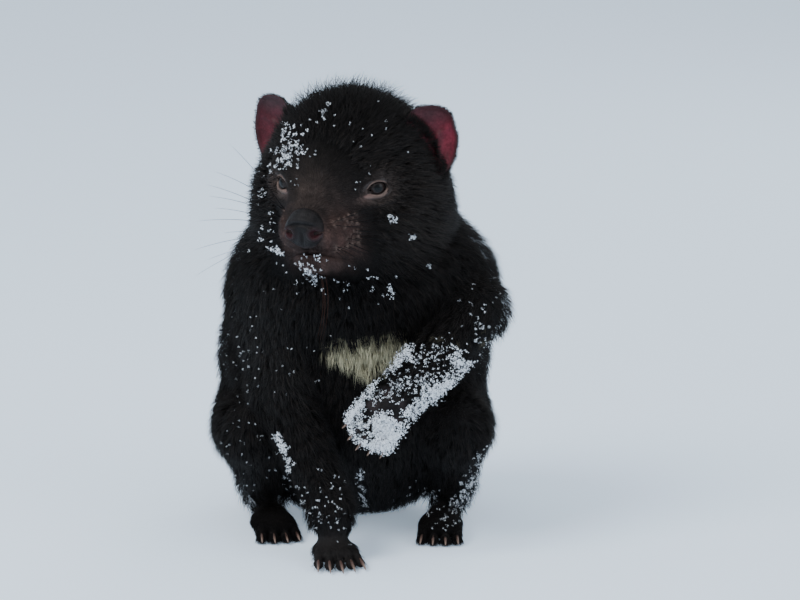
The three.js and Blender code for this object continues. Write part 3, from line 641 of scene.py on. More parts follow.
def grain_group():
    """Fine pebbled grain of bare skin, as a height, from the piece's own coordinates."""
    group = bpy.data.node_groups.new("Skin grain", "ShaderNodeTree")
    group.interface.new_socket("Size", in_out="INPUT", socket_type="NodeSocketFloat")
    group.interface.new_socket("Height", in_out="OUTPUT", socket_type="NodeSocketFloat")
    nodes = group.nodes
    entry = nodes.new("NodeGroupInput")
    place = nodes.new("ShaderNodeTexCoord")
    pebbles = nodes.new("ShaderNodeTexVoronoi")
    pebbles.feature = "SMOOTH_F1"
    cloud = nodes.new("ShaderNodeTexNoise")
    cloud.inputs["Detail"].default_value = 5
    joined = nodes.new("ShaderNodeMath")
    joined.operation = "MULTIPLY_ADD"
    joined.inputs[1].default_value = -0.8
    leave = nodes.new("NodeGroupOutput")
    for pattern in (pebbles, cloud):
        group.links.new(place.outputs["Object"], pattern.inputs["Vector"])
        group.links.new(entry.outputs["Size"], pattern.inputs["Scale"])
    group.links.new(pebbles.outputs["Distance"], joined.inputs[0])
    group.links.new(cloud.outputs["Fac"], joined.inputs[2])
    group.links.new(joined.outputs[0], leave.inputs["Height"])
    return group


skin_grain = grain_group()


def plain_material(name, **values):
    """A material with constant values on its shader's sockets, and its nodes, links and shader."""
    material = bpy.data.materials.new(name)
    material.use_nodes = True
    shader = material.node_tree.nodes["Principled BSDF"]
    for socket, value in values.items():
        shader.inputs[socket.replace("_", " ")].default_value = value
    return material, material.node_tree.nodes, material.node_tree.links, shader


def painted_material(name, roughness, specular, grain=None, depth=0.5, mottle=0.0, **more):
    """A material in the piece's painted colours, mottled a little, with fine grain as relief."""
    plain = {"Roughness": roughness, "Specular_IOR_Level": specular, **more}
    material, nodes, links, shader = plain_material(name, **plain)
    painted = nodes.new("ShaderNodeAttribute")
    painted.attribute_name = "coat_colour"
    colour = painted.outputs["Color"]
    if mottle:
        place = nodes.new("ShaderNodeTexCoord")
        cloud = nodes.new("ShaderNodeTexNoise")
        cloud.inputs["Scale"].default_value = 420
        spread = nodes.new("ShaderNodeMapRange")
        spread.inputs["To Min"].default_value = 1 - 1.6 * mottle
        spread.inputs["To Max"].default_value = 1 + 1.6 * mottle
        mottled = nodes.new("ShaderNodeVectorMath")
        mottled.operation = "SCALE"
        links.new(place.outputs["Object"], cloud.inputs["Vector"])
        links.new(cloud.outputs["Fac"], spread.inputs["Value"])
        links.new(colour, mottled.inputs[0])
        links.new(spread.outputs["Result"], mottled.inputs["Scale"])
        colour = mottled.outputs["Vector"]
    links.new(colour, shader.inputs["Base Color"])
    if grain:
        texture = nodes.new("ShaderNodeGroup")
        texture.node_tree = skin_grain
        texture.inputs["Size"].default_value = grain
        bumps = nodes.new("ShaderNodeBump")
        bumps.inputs["Strength"].default_value = depth
        bumps.inputs["Distance"].default_value = 0.0006
        links.new(texture.outputs["Height"], bumps.inputs["Height"])
        links.new(bumps.outputs["Normal"], shader.inputs["Normal"])
    return material


skin.data.materials.append(painted_material("Hide", 0.7, 0.12, grain=1100, mottle=0.35))
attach(skin, "root")
BARE = ("claw", "ear", "eye", "nose")
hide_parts(*[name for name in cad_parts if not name.startswith(BARE)])


# Eyes
# Small dark balls, set wide, with a thin wet film and a slightly domed front.
# Each is turned outwards and forwards, and stands in the lids with its front just proud of them.

PUPIL_BLACK = (0.0015, 0.0015, 0.0015)
IRIS_BROWN = (0.015, 0.010, 0.0085)
IRIS_EDGE = (0.005, 0.004, 0.004)
EYE_WHITE = (0.045, 0.033, 0.030)
IRIS_BANDS = (
    (0.0, PUPIL_BLACK),
    (0.21, PUPIL_BLACK),
    (0.25, IRIS_BROWN),
    (0.47, IRIS_BROWN),
    (0.53, IRIS_EDGE),
    (0.62, EYE_WHITE),
)
EYE_RINGS = 24
EYE_TURNS = 40


def eye_axes(sign):
    """Two axes across the way that the eye looks, and that way itself."""
    out = unit((EYE_OUT * (1, sign, 1)) @ HEAD_AXES)
    across = unit(np.cross(HEAD_AXES[2], out))
    return across, np.cross(out, across), out


def lathe(profile, turns, axes, centre):
    """A closed round body: the profile gives each ring's radius and its place along the third axis."""
    across, up, out = axes
    angles = np.arange(turns) * 2 * np.pi / turns
    rings = [
        centre + out * height + radius * (np.cos(angles)[:, None] * across + np.sin(angles)[:, None] * up)
        for radius, height in profile
    ]
    points = np.concatenate([*rings, [centre + out * profile[0][1]], [centre + out * profile[-1][1]]])
    faces = []
    for ring in range(len(profile) - 1):
        for turn in range(turns):
            after = (turn + 1) % turns
            low, high = ring * turns, (ring + 1) * turns
            faces.append((low + turn, low + after, high + after))
            faces.append((low + turn, high + after, high + turn))
    first, last = len(points) - 2, len(points) - 1
    end = (len(profile) - 1) * turns
    for turn in range(turns):
        after = (turn + 1) % turns
        faces.append((first, after, turn))
        faces.append((last, end + turn, end + after))
    return points, np.array(faces)


wet_film = {"Specular_IOR_Level": 0.1, "Coat_Weight": 0.17, "Coat_Roughness": 0.03}
eye_material, eye_nodes, eye_links, eye_shader = plain_material("Eye", Roughness=0.25, **wet_film)
iris_ramp = eye_nodes.new("ShaderNodeValToRGB")
bands = iris_ramp.color_ramp.elements
for number, (place, shade) in enumerate(IRIS_BANDS):
    last = number == len(IRIS_BANDS) - 1
    band = bands[0] if number == 0 else bands[-1] if last else bands.new(place)
    band.position = place
    band.color = (*shade, 1)
iris_place = eye_nodes.new("ShaderNodeAttribute")
iris_place.attribute_name = "from_pupil"
eye_links.new(iris_place.outputs["Fac"], iris_ramp.inputs["Fac"])
eye_links.new(iris_ramp.outputs["Color"], eye_shader.inputs["Base Color"])
for side, sign in SIDES:
    profile = []
    for step in range(EYE_RINGS - 1, 0, -1):
        angle = np.pi * step / EYE_RINGS
        reach = EYE_RADIUS + 0.7 * bell(angle, 0, 0.62)
        profile.append((reach * np.sin(angle), reach * np.cos(angle)))
    centre = from_head(EYE_PLACES[side])
    axes = eye_axes(sign)
    eye_points, eye_faces = lathe(profile, EYE_TURNS, axes, centre)
    eye = new_piece("eyeball_" + side, eye_points, eye_faces)
    from_pupil = np.arccos(np.clip(unit(eye_points - centre) @ axes[2], -1, 1)) / np.pi * 2
    distances = eye.data.attributes.new("from_pupil", "FLOAT", "POINT")
    distances.data.foreach_set("value", from_pupil.astype(np.float32))
    eye.data.materials.append(eye_material)
    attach(eye, "root")
    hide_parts("eye_" + side)


# Lids
# A fold of bare, pinkish skin round each eye, thick at its edge and creased outside it.
# Each is one closed ring, from the almond-shaped opening out to the skin of the socket.

LID_TURNS = 84
LID_INNER = (6.9, 4.35)
LID_OUTER = (13.5, 9.0)
LID_SLANT = math.radians(14)
LID_RISE = (
    # share of the way from the edge to the socket, and height in millimetres
    (0.0, 0.0), (0.03, 0.7), (0.09, 1.2), (0.18, 1.45), (0.30, 1.25),
    (0.38, 0.8), (0.46, 1.0), (0.6, 0.85), (0.8, 0.4),
)
LID_RIM = np.array([0.024, 0.018, 0.017])
LID_FLESH = np.array([0.145, 0.092, 0.072])
LID_PINK = np.array([0.150, 0.082, 0.074])


def ring_quads(low, high, turns):
    """The quads between two rings of points, from the numbers of their first points."""
    ends = [(turn, (turn + 1) % turns) for turn in range(turns)]
    return [(low + one, high + one, high + two, low + two) for one, two in ends]


lid_material = painted_material("Lid skin", 0.45, 0.25, grain=1900, mottle=0.25)
for side, sign in SIDES:
    centre = from_head(EYE_PLACES[side])
    across, up, out = eye_axes(sign)
    angle = np.arange(LID_TURNS) * 2 * np.pi / LID_TURNS
    away = np.cos(angle)
    rise = np.sin(angle) * np.abs(np.sin(angle)) ** 0.3
    turned_away = away * math.cos(LID_SLANT) - rise * math.sin(LID_SLANT) * 0.7
    turned_rise = away * math.sin(LID_SLANT) * 1.35 + rise * math.cos(LID_SLANT)
    inner_corner = bell(angle, math.pi * 1.08, 0.42)

    def in_plane(half, tail):
        side_step = turned_away * half[0] - tail * inner_corner
        up_step = turned_rise * half[1] - 0.3 * tail * inner_corner
        return centre + np.outer(side_step * sign, across) + np.outer(up_step, up)

    inner = in_plane(LID_INNER, 0.9)
    off = np.linalg.norm(inner - centre, axis=1)
    inner = inner + np.outer(np.sqrt(np.maximum((EYE_RADIUS + 0.1) ** 2 - off**2, 4)), out)
    outer = settled(skin_form, in_plane(LID_OUTER, 3.5) + out * 6, 6)
    rings = [centre + (inner - centre) * 0.9]
    for share, lift in LID_RISE:
        rings.append(inner + (outer - inner) * share + out * lift)
    outer_up = unit(uphill(skin_form, outer))
    rings += [outer - outer_up * 0.3, outer - outer_up * 2.5]
    points = np.concatenate(rings)
    quads = []
    for ring in range(len(rings)):
        quads += ring_quads(ring * LID_TURNS, (ring + 1) % len(rings) * LID_TURNS, LID_TURNS)
    lid = new_piece("lids_" + side, points, np.array(quads))
    shares = np.array([0, *[share for share, lift in LID_RISE], 1, 1])
    from_edge = np.outer(shares, np.linalg.norm(outer - inner, axis=1)).ravel()
    flesh_width = 1.5 + smooth(-np.sin(angle), 0, 0.8) + 6.5 * inner_corner
    flesh_share = from_edge / np.tile(flesh_width, len(rings))
    pink = np.tile(inner_corner, len(rings))
    corner_glow = np.tile(bell(angle, math.pi * 1.14, 0.5), len(rings))
    flesh = mixed(LID_FLESH, LID_PINK, pink)
    surround = mixed(BRIDGE_BROWN * 0.55, EYE_CORNER_PINK, 0.8 * corner_glow)
    tint = mixed(LID_RIM, flesh, smooth(from_edge, 0.15, 0.8))
    tint = mixed(tint, surround, smooth(flesh_share, 0.65, 1.35))
    paint(lid, tint * (1 + 0.15 * ripple(points, 4, 4)[:, None]))
    lid.data.materials.append(lid_material)
    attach(lid, "root")


# Nose pad
# Bare, moist, dark slate skin at the end of the muzzle, finely pebbled.
# It is one soft pad that runs down into the upper lip, with a comma of a nostril on each side.

NOSE_AT = np.array([75, 0, -12.5])
NOSE_RADII = (9.5, 14, 12.5)
NOSE_REACH = 24
NOSE_STEP = 0.7
NOSE_SLATE = np.array([0.0085, 0.0068, 0.0066])
NOSE_EDGE = np.array([0.045, 0.034, 0.034])
NOSTRIL_RED = np.array([0.050, 0.014, 0.017])


def nose_form(points):
    place = to_half_head(points)
    pad = blend(
        4,
        ellipsoid(place, NOSE_AT, NOSE_RADII),
        ellipsoid(place, NOSE_AT + (1.5, 8.5, -4), (8, 7, 8)),
        ellipsoid(place, (75, 0, -22.5), (7.3, 10.2, 7.2)),
    )
    nostril = blend(
        2,
        ellipsoid(place, NOSE_AT + (9.5, 9.8, -4.5), (5, 3.1, 3.1)),
        ellipsoid(place, NOSE_AT + (7, 14, -3.8), (4, 4, 1.4)),
    )
    groove = ellipsoid(place, NOSE_AT + (10, 0, -11), (3, 0.7, 9))
    return hollowed(1.6, hollowed(1.6, pad, nostril), groove)


def nose_relief(points):
    """A soft shelf above the nostrils, and a raised rim round each of them, in millimetres."""
    place = to_half_head(points)
    ahead = smooth(place[:, 0], 76, 81)
    down = NOSE_AT[2] + 3.2 - 0.02 * place[:, 1] ** 2 - place[:, 2]
    shelf = 1.3 * bell(down, -2.4, 2.2) - 1.5 * bell(down, 0.5, 1.1)
    round_nostril = np.hypot(place[:, 1] - 9.8, place[:, 2] - NOSE_AT[2] + 4.5)
    rim = 0.6 * bell(round_nostril, 4.6, 1.1)
    return ahead * (shelf * (1 - smooth(place[:, 1], 9, 13)) + rim)


nose_middle = from_head(NOSE_AT - (0, 0, 5))
nose_box = (nose_middle - NOSE_REACH, nose_middle + NOSE_REACH)
nose_points, nose_quads = net(nose_form, *nose_box, NOSE_STEP)
nose_points = settled(nose_form, nose_points, 1)
nose_points = nose_points + unit(uphill(nose_form, nose_points)) * nose_relief(nose_points)[:, None]
nose_pad = new_piece("nose_pad", nose_points, nose_quads)
nose_place = to_half_head(nose_points)
nose_tint = NOSE_SLATE * (1 + 0.35 * ripple(nose_points, 7, 61)[:, None])
inside_nostril = around_place(nose_place, NOSE_AT + (7.0, 10, -4.6), (5, 3.6, 3.4))
low_edge = smooth(-nose_place[:, 2], 25, 30)
low_edge = low_edge + smooth(nose_place[:, 1], 12.5, 15) * smooth(-nose_place[:, 2], 12, 18)
nose_tint = mixed(nose_tint, NOSE_EDGE, np.clip(0.6 * low_edge, 0, 1))
nose_tint = mixed(nose_tint, NOSTRIL_RED, np.clip(1.2 * inside_nostril, 0, 1))
paint(nose_pad, nose_tint)
moist = {"Coat_Weight": 0.04, "Coat_Roughness": 0.3}
nose_leather = painted_material("Nose leather", 0.42, 0.12, grain=1300, depth=0.9, mottle=0.25, **moist)
nose_pad.data.materials.append(nose_leather)
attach(nose_pad, "root")
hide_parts("nose")


# Ears
# Thin upright cups of almost bare skin, dark red inside with a darker rim, and haired on the back.
# Each is one bent shell set into the upper corner of the head, with low folds at the base of the cup.

EAR_PLACES = {
    "right": ((-9, -64, 34.5), (0.93, -0.36, 0.08)),
    "left": ((-9, 63, 31), (0.86, 0.46, 0.08)),
}
EAR_HALF_WIDTH = 20
EAR_HALF_HEIGHT = 26
EAR_CUP = 10
EAR_THICKNESS = 1.7
EAR_RINGS = 22
EAR_TURNS = 72
EAR_RED = np.array([0.150, 0.021, 0.034])
EAR_DEEP = np.array([0.085, 0.013, 0.020])
EAR_RIM = np.array([0.040, 0.011, 0.014])
EAR_TOP = np.array([0.045, 0.021, 0.022])
# The red inside the far, right ear is painted darker than the near left one's, as painted shade.
EAR_PAINTED_SHADE = {"right": 0.72, "left": 1.0}


def ear_axes(side, sign):
    out = unit(EAR_PLACES[side][1])
    across = np.array([-0.4, 0.9 * sign, 0])
    across = unit(unit(across) - out * (unit(across) @ out))
    return across, np.cross(out, across) * sign, out


def ear_shell(side, sign):
    """The ear's points and quads, and each point's share of the way to the rim and place on an unwrap."""
    across, up, out = ear_axes(side, sign)
    angle = np.arange(EAR_TURNS) * 2 * np.pi / EAR_TURNS
    corner = (np.abs(np.cos(angle)) ** 2.6 + np.abs(np.sin(angle)) ** 2.6) ** (-1 / 2.6)
    notch = 1 - 0.05 * bell(angle, 0.4, 0.15) - 0.03 * bell(angle, 2.5, 0.2)
    points = []
    shares = []
    unwrap = []
    for back in (0, 1):
        for ring in range(EAR_RINGS + 1):
            share = max(ring / EAR_RINGS, 0.01)
            one = share * corner * notch * np.cos(angle)
            two = share * corner * notch * np.sin(angle)
            narrow = 1 - 0.16 * np.maximum(0, -two)
            sunk = EAR_CUP * (1 - share**2) * np.ones(EAR_TURNS)
            if back:
                sunk += EAR_THICKNESS * min(1, (EAR_RINGS - ring) / 2 + 0.35)
            else:
                fold = 3.4 * bell(one, -0.28, 0.11) * smooth(-two, -0.1, 0.3)
                ridge = 2.6 * bell(one, 0.32, 0.10) * smooth(-two, -0.35, 0.2)
                shelf = 1.6 * bell(two - 0.5 * one, -0.05, 0.10) * smooth(one, -0.5, 0)
                sunk -= (fold + ridge + shelf) * (1 - share**4)
                sunk -= 0.7 * bell(share, 0.94, 0.05)
            place = EAR_PLACES[side][0] + np.outer(one * EAR_HALF_WIDTH * narrow, across)
            place = place + np.outer(two * EAR_HALF_HEIGHT, up) - np.outer(sunk, out)
            points.append(from_head(place))
            shares.append(np.full(EAR_TURNS, share))
            unwrap.append(np.stack([0.25 + 0.5 * back + 0.22 * one, 0.5 + 0.4 * two], 1))
    layers = EAR_RINGS + 1
    quads = []
    for back in (0, 1):
        start = back * layers * EAR_TURNS
        for ring in range(EAR_RINGS):
            low = start + ring * EAR_TURNS
            band = ring_quads(low, low + EAR_TURNS, EAR_TURNS)
            quads += [quad[::-1] for quad in band] if back else band
    hub = ring_quads(0, layers * EAR_TURNS, EAR_TURNS)
    quads += [quad[::-1] for quad in hub]
    quads += ring_quads(EAR_RINGS * EAR_TURNS, (layers + EAR_RINGS) * EAR_TURNS, EAR_TURNS)
    return np.concatenate(points), np.array(quads), np.concatenate(shares), np.concatenate(unwrap)


ear_material = painted_material("Ear skin", 0.5, 0.22, grain=900, depth=0.4, mottle=0.35)
ears = {}
for side, sign in SIDES:
    ear_points, ear_quads, rim_share, unwrap = ear_shell(side, sign)
    ear = new_piece("ear_skin_" + side, ear_points, ear_quads)
    on_back = unwrap[:, 0] > 0.5
    ears[side] = (ear_points, ear_quads, unwrap, rim_share, on_back)
    glow = np.clip(0.5 + 0.8 * ripple(ear_points, 13, 21), 0, 1) * smooth(rim_share, 0.15, 0.6)
    # Painted shade darkens the red inside the far ear.
    tint = mixed(EAR_DEEP, EAR_RED, glow) * EAR_PAINTED_SHADE[side]
    tint = mixed(tint, EAR_TOP, 0.75 * smooth(unwrap[:, 1], 0.62, 0.84))
    tint = mixed(tint, EAR_RIM, smooth(rim_share, 0.86, 0.97))
    tint = mixed(tint, COAT_BLACK * 1.5, 0.9 * on_back)
    paint(ear, tint)
    ear.data.materials.append(ear_material)
    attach(ear, "root")
    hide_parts("ear_" + side)


# Claws
# Blunt, curved claws of pinkish brown horn, five on each forepaw and four on each hind foot.
# Each grows out of the end of its digit and bends down to its tip.

CLAW_RINGS = 9
CLAW_TURNS = 12
CLAW_RADIUS = 1.9
CLAW_TIP_RADIUS = 0.2
CLAW_ROOT = np.array([0.085, 0.048, 0.038])
CLAW_TIP = np.array([0.22, 0.145, 0.110])
claw_material = painted_material("Claw horn", 0.34, 0.45, grain=500, depth=0.3, mottle=0.2)
for name, (palm, forward, sole, size) in PAW_PLACES.items():
    under = paw_axes(forward, sole)[2]
    angle = np.arange(CLAW_TURNS) * 2 * np.pi / CLAW_TURNS
    points = []
    faces = []
    shares = []
    for number, (root, tip, way) in enumerate(paw_digits(name)):
        start = tip - under * 1.5 - way * 4
        bend = tip - under * 1.5 + way * size["claw"] * 0.55
        end = tip - under * 1.5 + way * size["claw"] + under * size["claw"] * 0.42
        for step in range(CLAW_RINGS):
            share = step / CLAW_RINGS
            middle = (1 - share) ** 2 * start + 2 * share * (1 - share) * bend + share**2 * end
            ring = np.outer(np.cos(angle) * 0.72, np.cross(way, under)) + np.outer(np.sin(angle), under)
            points.append(middle + (CLAW_RADIUS * (1 - share) ** 0.7 + CLAW_TIP_RADIUS) * ring)
            shares.append(np.full(CLAW_TURNS, share))
        points.append(np.array([end, start]))
        shares.append(np.array([1, 0]))
        first = number * (CLAW_RINGS * CLAW_TURNS + 2)
        top = first + CLAW_RINGS * CLAW_TURNS
        for turn in range(CLAW_TURNS):
            after = (turn + 1) % CLAW_TURNS
            faces.append((first + turn, first + after, top + 1))
            faces.append((top - CLAW_TURNS + after, top - CLAW_TURNS + turn, top))
            for step in range(CLAW_RINGS - 1):
                low, high = first + step * CLAW_TURNS, first + (step + 1) * CLAW_TURNS
                faces.append((low + turn, high + after, low + after))
                faces.append((low + turn, high + turn, high + after))
    points = np.concatenate(points)
    points[:, 2] = np.maximum(points[:, 2], SOLE_HEIGHT)
    claws = new_piece("claws_" + name, points, np.array(faces))
    paint(claws, mixed(CLAW_ROOT, CLAW_TIP, smooth(np.concatenate(shares), 0.3, 0.9)))
    claws.data.materials.append(claw_material)
    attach(claws, "root")
    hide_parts(*[f"claw_{name}_{number + 1}" for number in range(size["digits"])])


# Coat
# Short, dense, slightly coarse hair, near black with browner tips, and cream in a crescent on the chest.
# It is modelled as thin tapered tufts set in the skin and leaning together in small clumps.
# They are longest on the crown and cheeks and shortest on the face and paws.

HAIR_TIP_BROWN = np.array([0.012, 0.0075, 0.005])
COAT_TUFTS = 166000
FACE_TUFTS = 98000
EAR_TUFTS = 5200
HAIR_LENGTH = 12.5
HAIR_WIDTH = 0.24
EAR_HAIR_WIDTH = 0.2
HAIR_FLOOR = 0.25
HAIR_PAST_TIPS = 3.2
GUARD_SHARE = 0.22
CLUMP_TUFTS = 26
CLUMP_PULL = 0.45
UNWRAP_WIDTH = 0.0013
UNWRAP_LENGTH = 0.0026
coat_material = painted_material("Coat hair", 0.6, 0.12)


def lie_of_hair(points, part):
    """The way that the coat lies at each point, before it is laid along the skin."""
    from_nose = unit((to_head(points) - (92, 0, -6)) * (1, 1.2, 1)) @ HEAD_AXES
    flow = np.tile((0, 0.06, -0.6), (len(points), 1))
    flow += from_nose * np.exp(-np.maximum(part["head"] + 4, 0) / 9)[:, None] * 1.6
    limbs = (
        ("arm_right", RIGHT_ARM, "forepaw_right"),
        ("arm_left", LEFT_ARM, "forepaw_left"),
        ("foot_right", RIGHT_LEG[1:], "hindfoot_right"),
        ("foot_left", LEFT_LEG[1:], "hindfoot_left"),
        ("thigh_right", RIGHT_LEG[:2], None),
        ("thigh_left", LEFT_LEG[:2], None),
    )
    for name, joints, paw in limbs:
        stops = [np.array(joint, float) for joint in joints]
        if paw:
            stops.append(np.array(PAW_PLACES[paw][0]) + unit(PAW_PLACES[paw][1]) * 20)
        nearest = np.full(len(points), 1e9)
        way = np.zeros_like(points)
        for start, end in zip(stops, stops[1:]):
            share = np.clip(((points - start) @ (end - start)) / ((end - start) @ (end - start)), 0, 1)
            off = np.linalg.norm(points - start - share[:, None] * (end - start), axis=1)
            closer = off < nearest
            nearest[closer] = off[closer]
            way[closer] = unit(end - start)
        weight = np.exp(-np.maximum(part[name] + 5, 0) / 5) * (1.3 if paw else 0.7)
        flow += way * weight[:, None]
    tail_weight = np.exp(-np.maximum(part["tail"] + 5, 0) / 10)
    flow += unit((-0.25, 0.9, -0.1)) * (tail_weight * 1.5)[:, None]
    wander = np.stack([ripple(points, 19, seed) for seed in (31, 32, 33)], 1)
    clumps = np.stack([ripple(points, 7, seed) for seed in (41, 42, 43)], 1)
    return flow + 0.14 * wander + 0.17 * clumps


def roots_on(surface, count, crowding, seed):
    """Random places on a surface, as crowded as the weights say, with normals and places on its unwrap."""
    points, normals, triangles, unwrap = surface
    corners = points[triangles]
    area = np.linalg.norm(np.cross(corners[:, 1] - corners[:, 0], corners[:, 2] - corners[:, 0]), axis=1)
    weight = area * crowding
    draw = np.random.default_rng(seed)
    chosen = draw.choice(len(triangles), count, p=weight / weight.sum())
    share = draw.dirichlet((1, 1, 1), count)[..., None]
    found = (corners[chosen] * share).sum(1)
    return found, unit((normals[triangles[chosen]] * share).sum(1)), (unwrap[chosen] * share).sum(1)


def along(ways, normals):
    """Directions laid flat on the surface."""
    return unit(ways - normals * (ways * normals).sum(1)[:, None])


def gathered(roots, normals, ways, reach, each, pull):
    """Ways and reaches that lean each tuft towards the middle one of its clump."""
    leaders = KDTree(len(roots) // each + 1)
    for number, root in enumerate(roots[::each]):
        leaders.insert(root, number)
    leaders.balance()
    nearest = np.array([leaders.find(root)[1] for root in roots])
    aside = roots[::each][nearest] - roots
    aside = aside - normals * (aside * normals).sum(1)[:, None]
    tips = ways * reach[:, None] + aside * np.asarray(pull)[:, None]
    return unit(tips), np.linalg.norm(tips, axis=1)


def tuft_mesh(name, roots, normals, ways, lengths, heights, widths, places, colours, bent):
    """One mesh of tufts: bent spindles that rise and then lie over, or straight three-sided spikes."""
    sides = np.cross(ways, normals)
    if bent:
        stops = ((0, 0, -0.6, 0, 0.55), (0.4, 0.66, 0, 1, 1.0), (1, 1, 0, 0, 1.35))
        faces = [(0, 2, 1), (0, 3, 2), (0, 1, 3), (1, 2, 4), (2, 3, 4), (3, 1, 4)]
    else:
        stops = ((0, 0, -0.4, 1, 0.85), (1, 1, 0, 0, 1.15))
        faces = [(0, 2, 1), (0, 1, 3), (1, 2, 3), (2, 0, 3)]
    points = []
    unwrap = []
    tints = []
    for length_share, height_share, lift, width_share, shade in stops:
        middle = roots + ways * (lengths * length_share)[:, None]
        middle = middle + normals * (heights * height_share + lift)[:, None]
        for angle in (0, 2 * np.pi / 3, 4 * np.pi / 3) if width_share else (0,):
            offset = sides * math.cos(angle) + normals * 0.6 * math.sin(angle)
            points.append(middle + offset * (widths * width_share)[:, None])
            aside = UNWRAP_WIDTH * width_share * math.cos(angle)
            unwrap.append(places + (aside, UNWRAP_LENGTH * (length_share - 0.5)))
            tints.append(colours * shade)
    each = len(points)
    faces = (np.arange(len(roots))[:, None, None] * each + np.array(faces)).reshape(-1, 3)
    points = np.stack(points, 1).reshape(-1, 3)
    points[:, 2] = np.maximum(points[:, 2], HAIR_FLOOR)
    unwrap = np.stack(unwrap, 1).reshape(-1, 2)
    if volume(points, faces) < 0:
        faces = faces[:, ::-1]
    piece = new_piece(name, points, faces)
    layer = piece.data.uv_layers.new(name="OFBake")
    layer.data.foreach_set("uv", unwrap[faces.ravel()].astype(np.float32).ravel())
    paint(piece, np.stack(tints, 1).reshape(-1, 3))
    piece.data.materials.append(coat_material)
    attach(piece, "root")


skin.data.calc_loop_triangles()
skin_triangles = read(skin.data.loop_triangles, "vertices", 3, np.int32)
triangle_loops = read(skin.data.loop_triangles, "loops", 3, np.int32)
skin_unwrap = read(skin.data.uv_layers["OFBake"].data, "uv", 2, np.float32)[triangle_loops]
skin_normals = read(skin.data.vertices, "normal", 3, np.float32)
skin_surface = (whole, skin_normals, skin_triangles, skin_unwrap)
middles = whole[skin_triangles].mean(1)
middle_normals = unit(skin_normals[skin_triangles].mean(1))


def sole_side(points, normals):
    """1 where the hide faces the ground, or the front under the lifted paw, and 0 elsewhere."""
    sole = np.zeros(len(points))
    for palm, forward, sole_way, size in PAW_PLACES.values():
        ahead, across, under = paw_axes(forward, sole_way)
        near = 1 - smooth(np.linalg.norm(points - palm - ahead * 8, axis=1), 26, 34)
        sole = np.maximum(sole, near * smooth(normals @ under, 0.35, 0.7))
    return sole


short = np.maximum(face_nearness(middles), paw_nearness(middles))
on_head = smooth(to_head(middles)[:, 2], -60, -20)
crowding = (1 - smooth(short, 0.5, 0.8)) * (0.62 + 0.6 * on_head) * smooth(middles[:, 2], 0.5, 4)
crowding = crowding * (1 - 0.35 * smooth(middles[:, 1], 20, 80))
crowding = crowding * (1 + 2.2 * smooth(middles[:, 1], 100, 130))
roots, normals, places = roots_on(skin_surface, COAT_TUFTS, crowding, 1)
part = regions(roots)
draw = np.random.default_rng(2)
in_head = to_head(roots)
crown = crown_share(roots) * (part["head"] < 0)
guard = draw.uniform(size=len(roots)) < GUARD_SHARE - 0.06 * crown
depths = coat_depth(roots)
shortening = 0.35 + 0.65 * smooth(depths, FACE_DEPTH, 7.0)
lengths = HAIR_LENGTH + 2.2 * ripple(roots, 30, 51) + draw.normal(0, 1.6, len(roots))
lengths = lengths * shortening
lengths = (lengths + 2.5 * crown) * (1 + (0.3 + 0.25 * crown) * guard)
far_cheek = smooth(-in_head[:, 1], 38, 54) * smooth(in_head[:, 2], -40, -20)
far_cheek *= smooth(in_head[:, 0], -20, 0)
near_cheek = smooth(in_head[:, 1], 30, 48) * smooth(-in_head[:, 2], 5, 30)
near_cheek *= (1 - smooth(part["head"], 3, 18)) * (1 - smooth(in_head[:, 0], 5, 25))
lengths = lengths + 4.5 * far_cheek + 5 * near_cheek
rise = 0.92 + 0.10 * ripple(roots, 7, 52) + draw.normal(0, 0.12, len(roots)) - 0.12 * crown
rise = rise - 0.25 * smooth(roots[:, 1], 100, 130)
heights = depths * rise * (1 + (0.42 + 0.35 * crown) * guard + 0.6 * far_cheek + 0.6 * near_cheek)
past_tips = HAIR_PAST_TIPS + 6 * crown + 4 * far_cheek + 4 * near_cheek
heights = np.minimum(heights, depths + past_tips)
ways = along(lie_of_hair(roots, part), normals)
ways = along(ways + draw.normal(0, 0.11 + 0.4 * crown[:, None], ways.shape), normals)
reach = np.sqrt(np.maximum(lengths**2 - heights**2, (0.3 * lengths) ** 2))
ways, reach = gathered(roots, normals, ways, reach, CLUMP_TUFTS, CLUMP_PULL + 0.35 * crown)
widths = (HAIR_WIDTH + draw.uniform(-0.06, 0.08, len(roots))) * (1 - 0.3 * guard)
tone = np.clip(draw.lognormal(0, 0.4, len(roots)), 0.45, 3.0)[:, None]
# Painted shade: the hair on the crown is painted darker, against the sheen that the lights give the top of
# the head.
colours = markings(roots) * (1 - 0.45 * crown)[:, None]
brightest = colours.max(1, keepdims=True)
warm = np.clip(draw.normal(-0.3, 0.55, len(roots)), 0, 1)[:, None] * (brightest < 0.1)
pale = brightest > 0.2
colours = colours * np.where(pale, 1 + 0.45 * (tone - 1), tone)
colours = colours + warm * HAIR_TIP_BROWN * (1 - 0.6 * crown)[:, None]

names = np.array(list(part))
nearest = names[np.argmin(np.stack([part[name] for name in names]), 0)]
on_torso = nearest == "torso"
groups = {
    "crown": (nearest == "head") & (in_head[:, 2] > 14),
    "cheek_left": (nearest == "head") & (in_head[:, 2] <= 14) & (in_head[:, 1] > 0),
    "cheek_right": (nearest == "head") & (in_head[:, 2] <= 14) & (in_head[:, 1] <= 0),
    "arm_right": nearest == "arm_right",
    "arm_left": nearest == "arm_left",
    "leg_right": np.isin(nearest, ("thigh_right", "foot_right")),
    "leg_left": np.isin(nearest, ("thigh_left", "foot_left")),
    "tail": nearest == "tail",
    "breast": on_torso & (roots[:, 1] < -18),
    "back_upper": on_torso & (roots[:, 1] >= -18) & (roots[:, 2] > 150),
    "back_lower": on_torso & (roots[:, 1] >= 40) & (roots[:, 2] <= 150),
    "flanks": on_torso & (roots[:, 1] >= -18) & (roots[:, 1] < 40) & (roots[:, 2] <= 150),
}
for group, members in groups.items():
    rows = (roots, normals, ways, reach, heights, widths, places, colours)
    tuft_mesh("coat_" + group, *[row[members] for row in rows], bent=True)

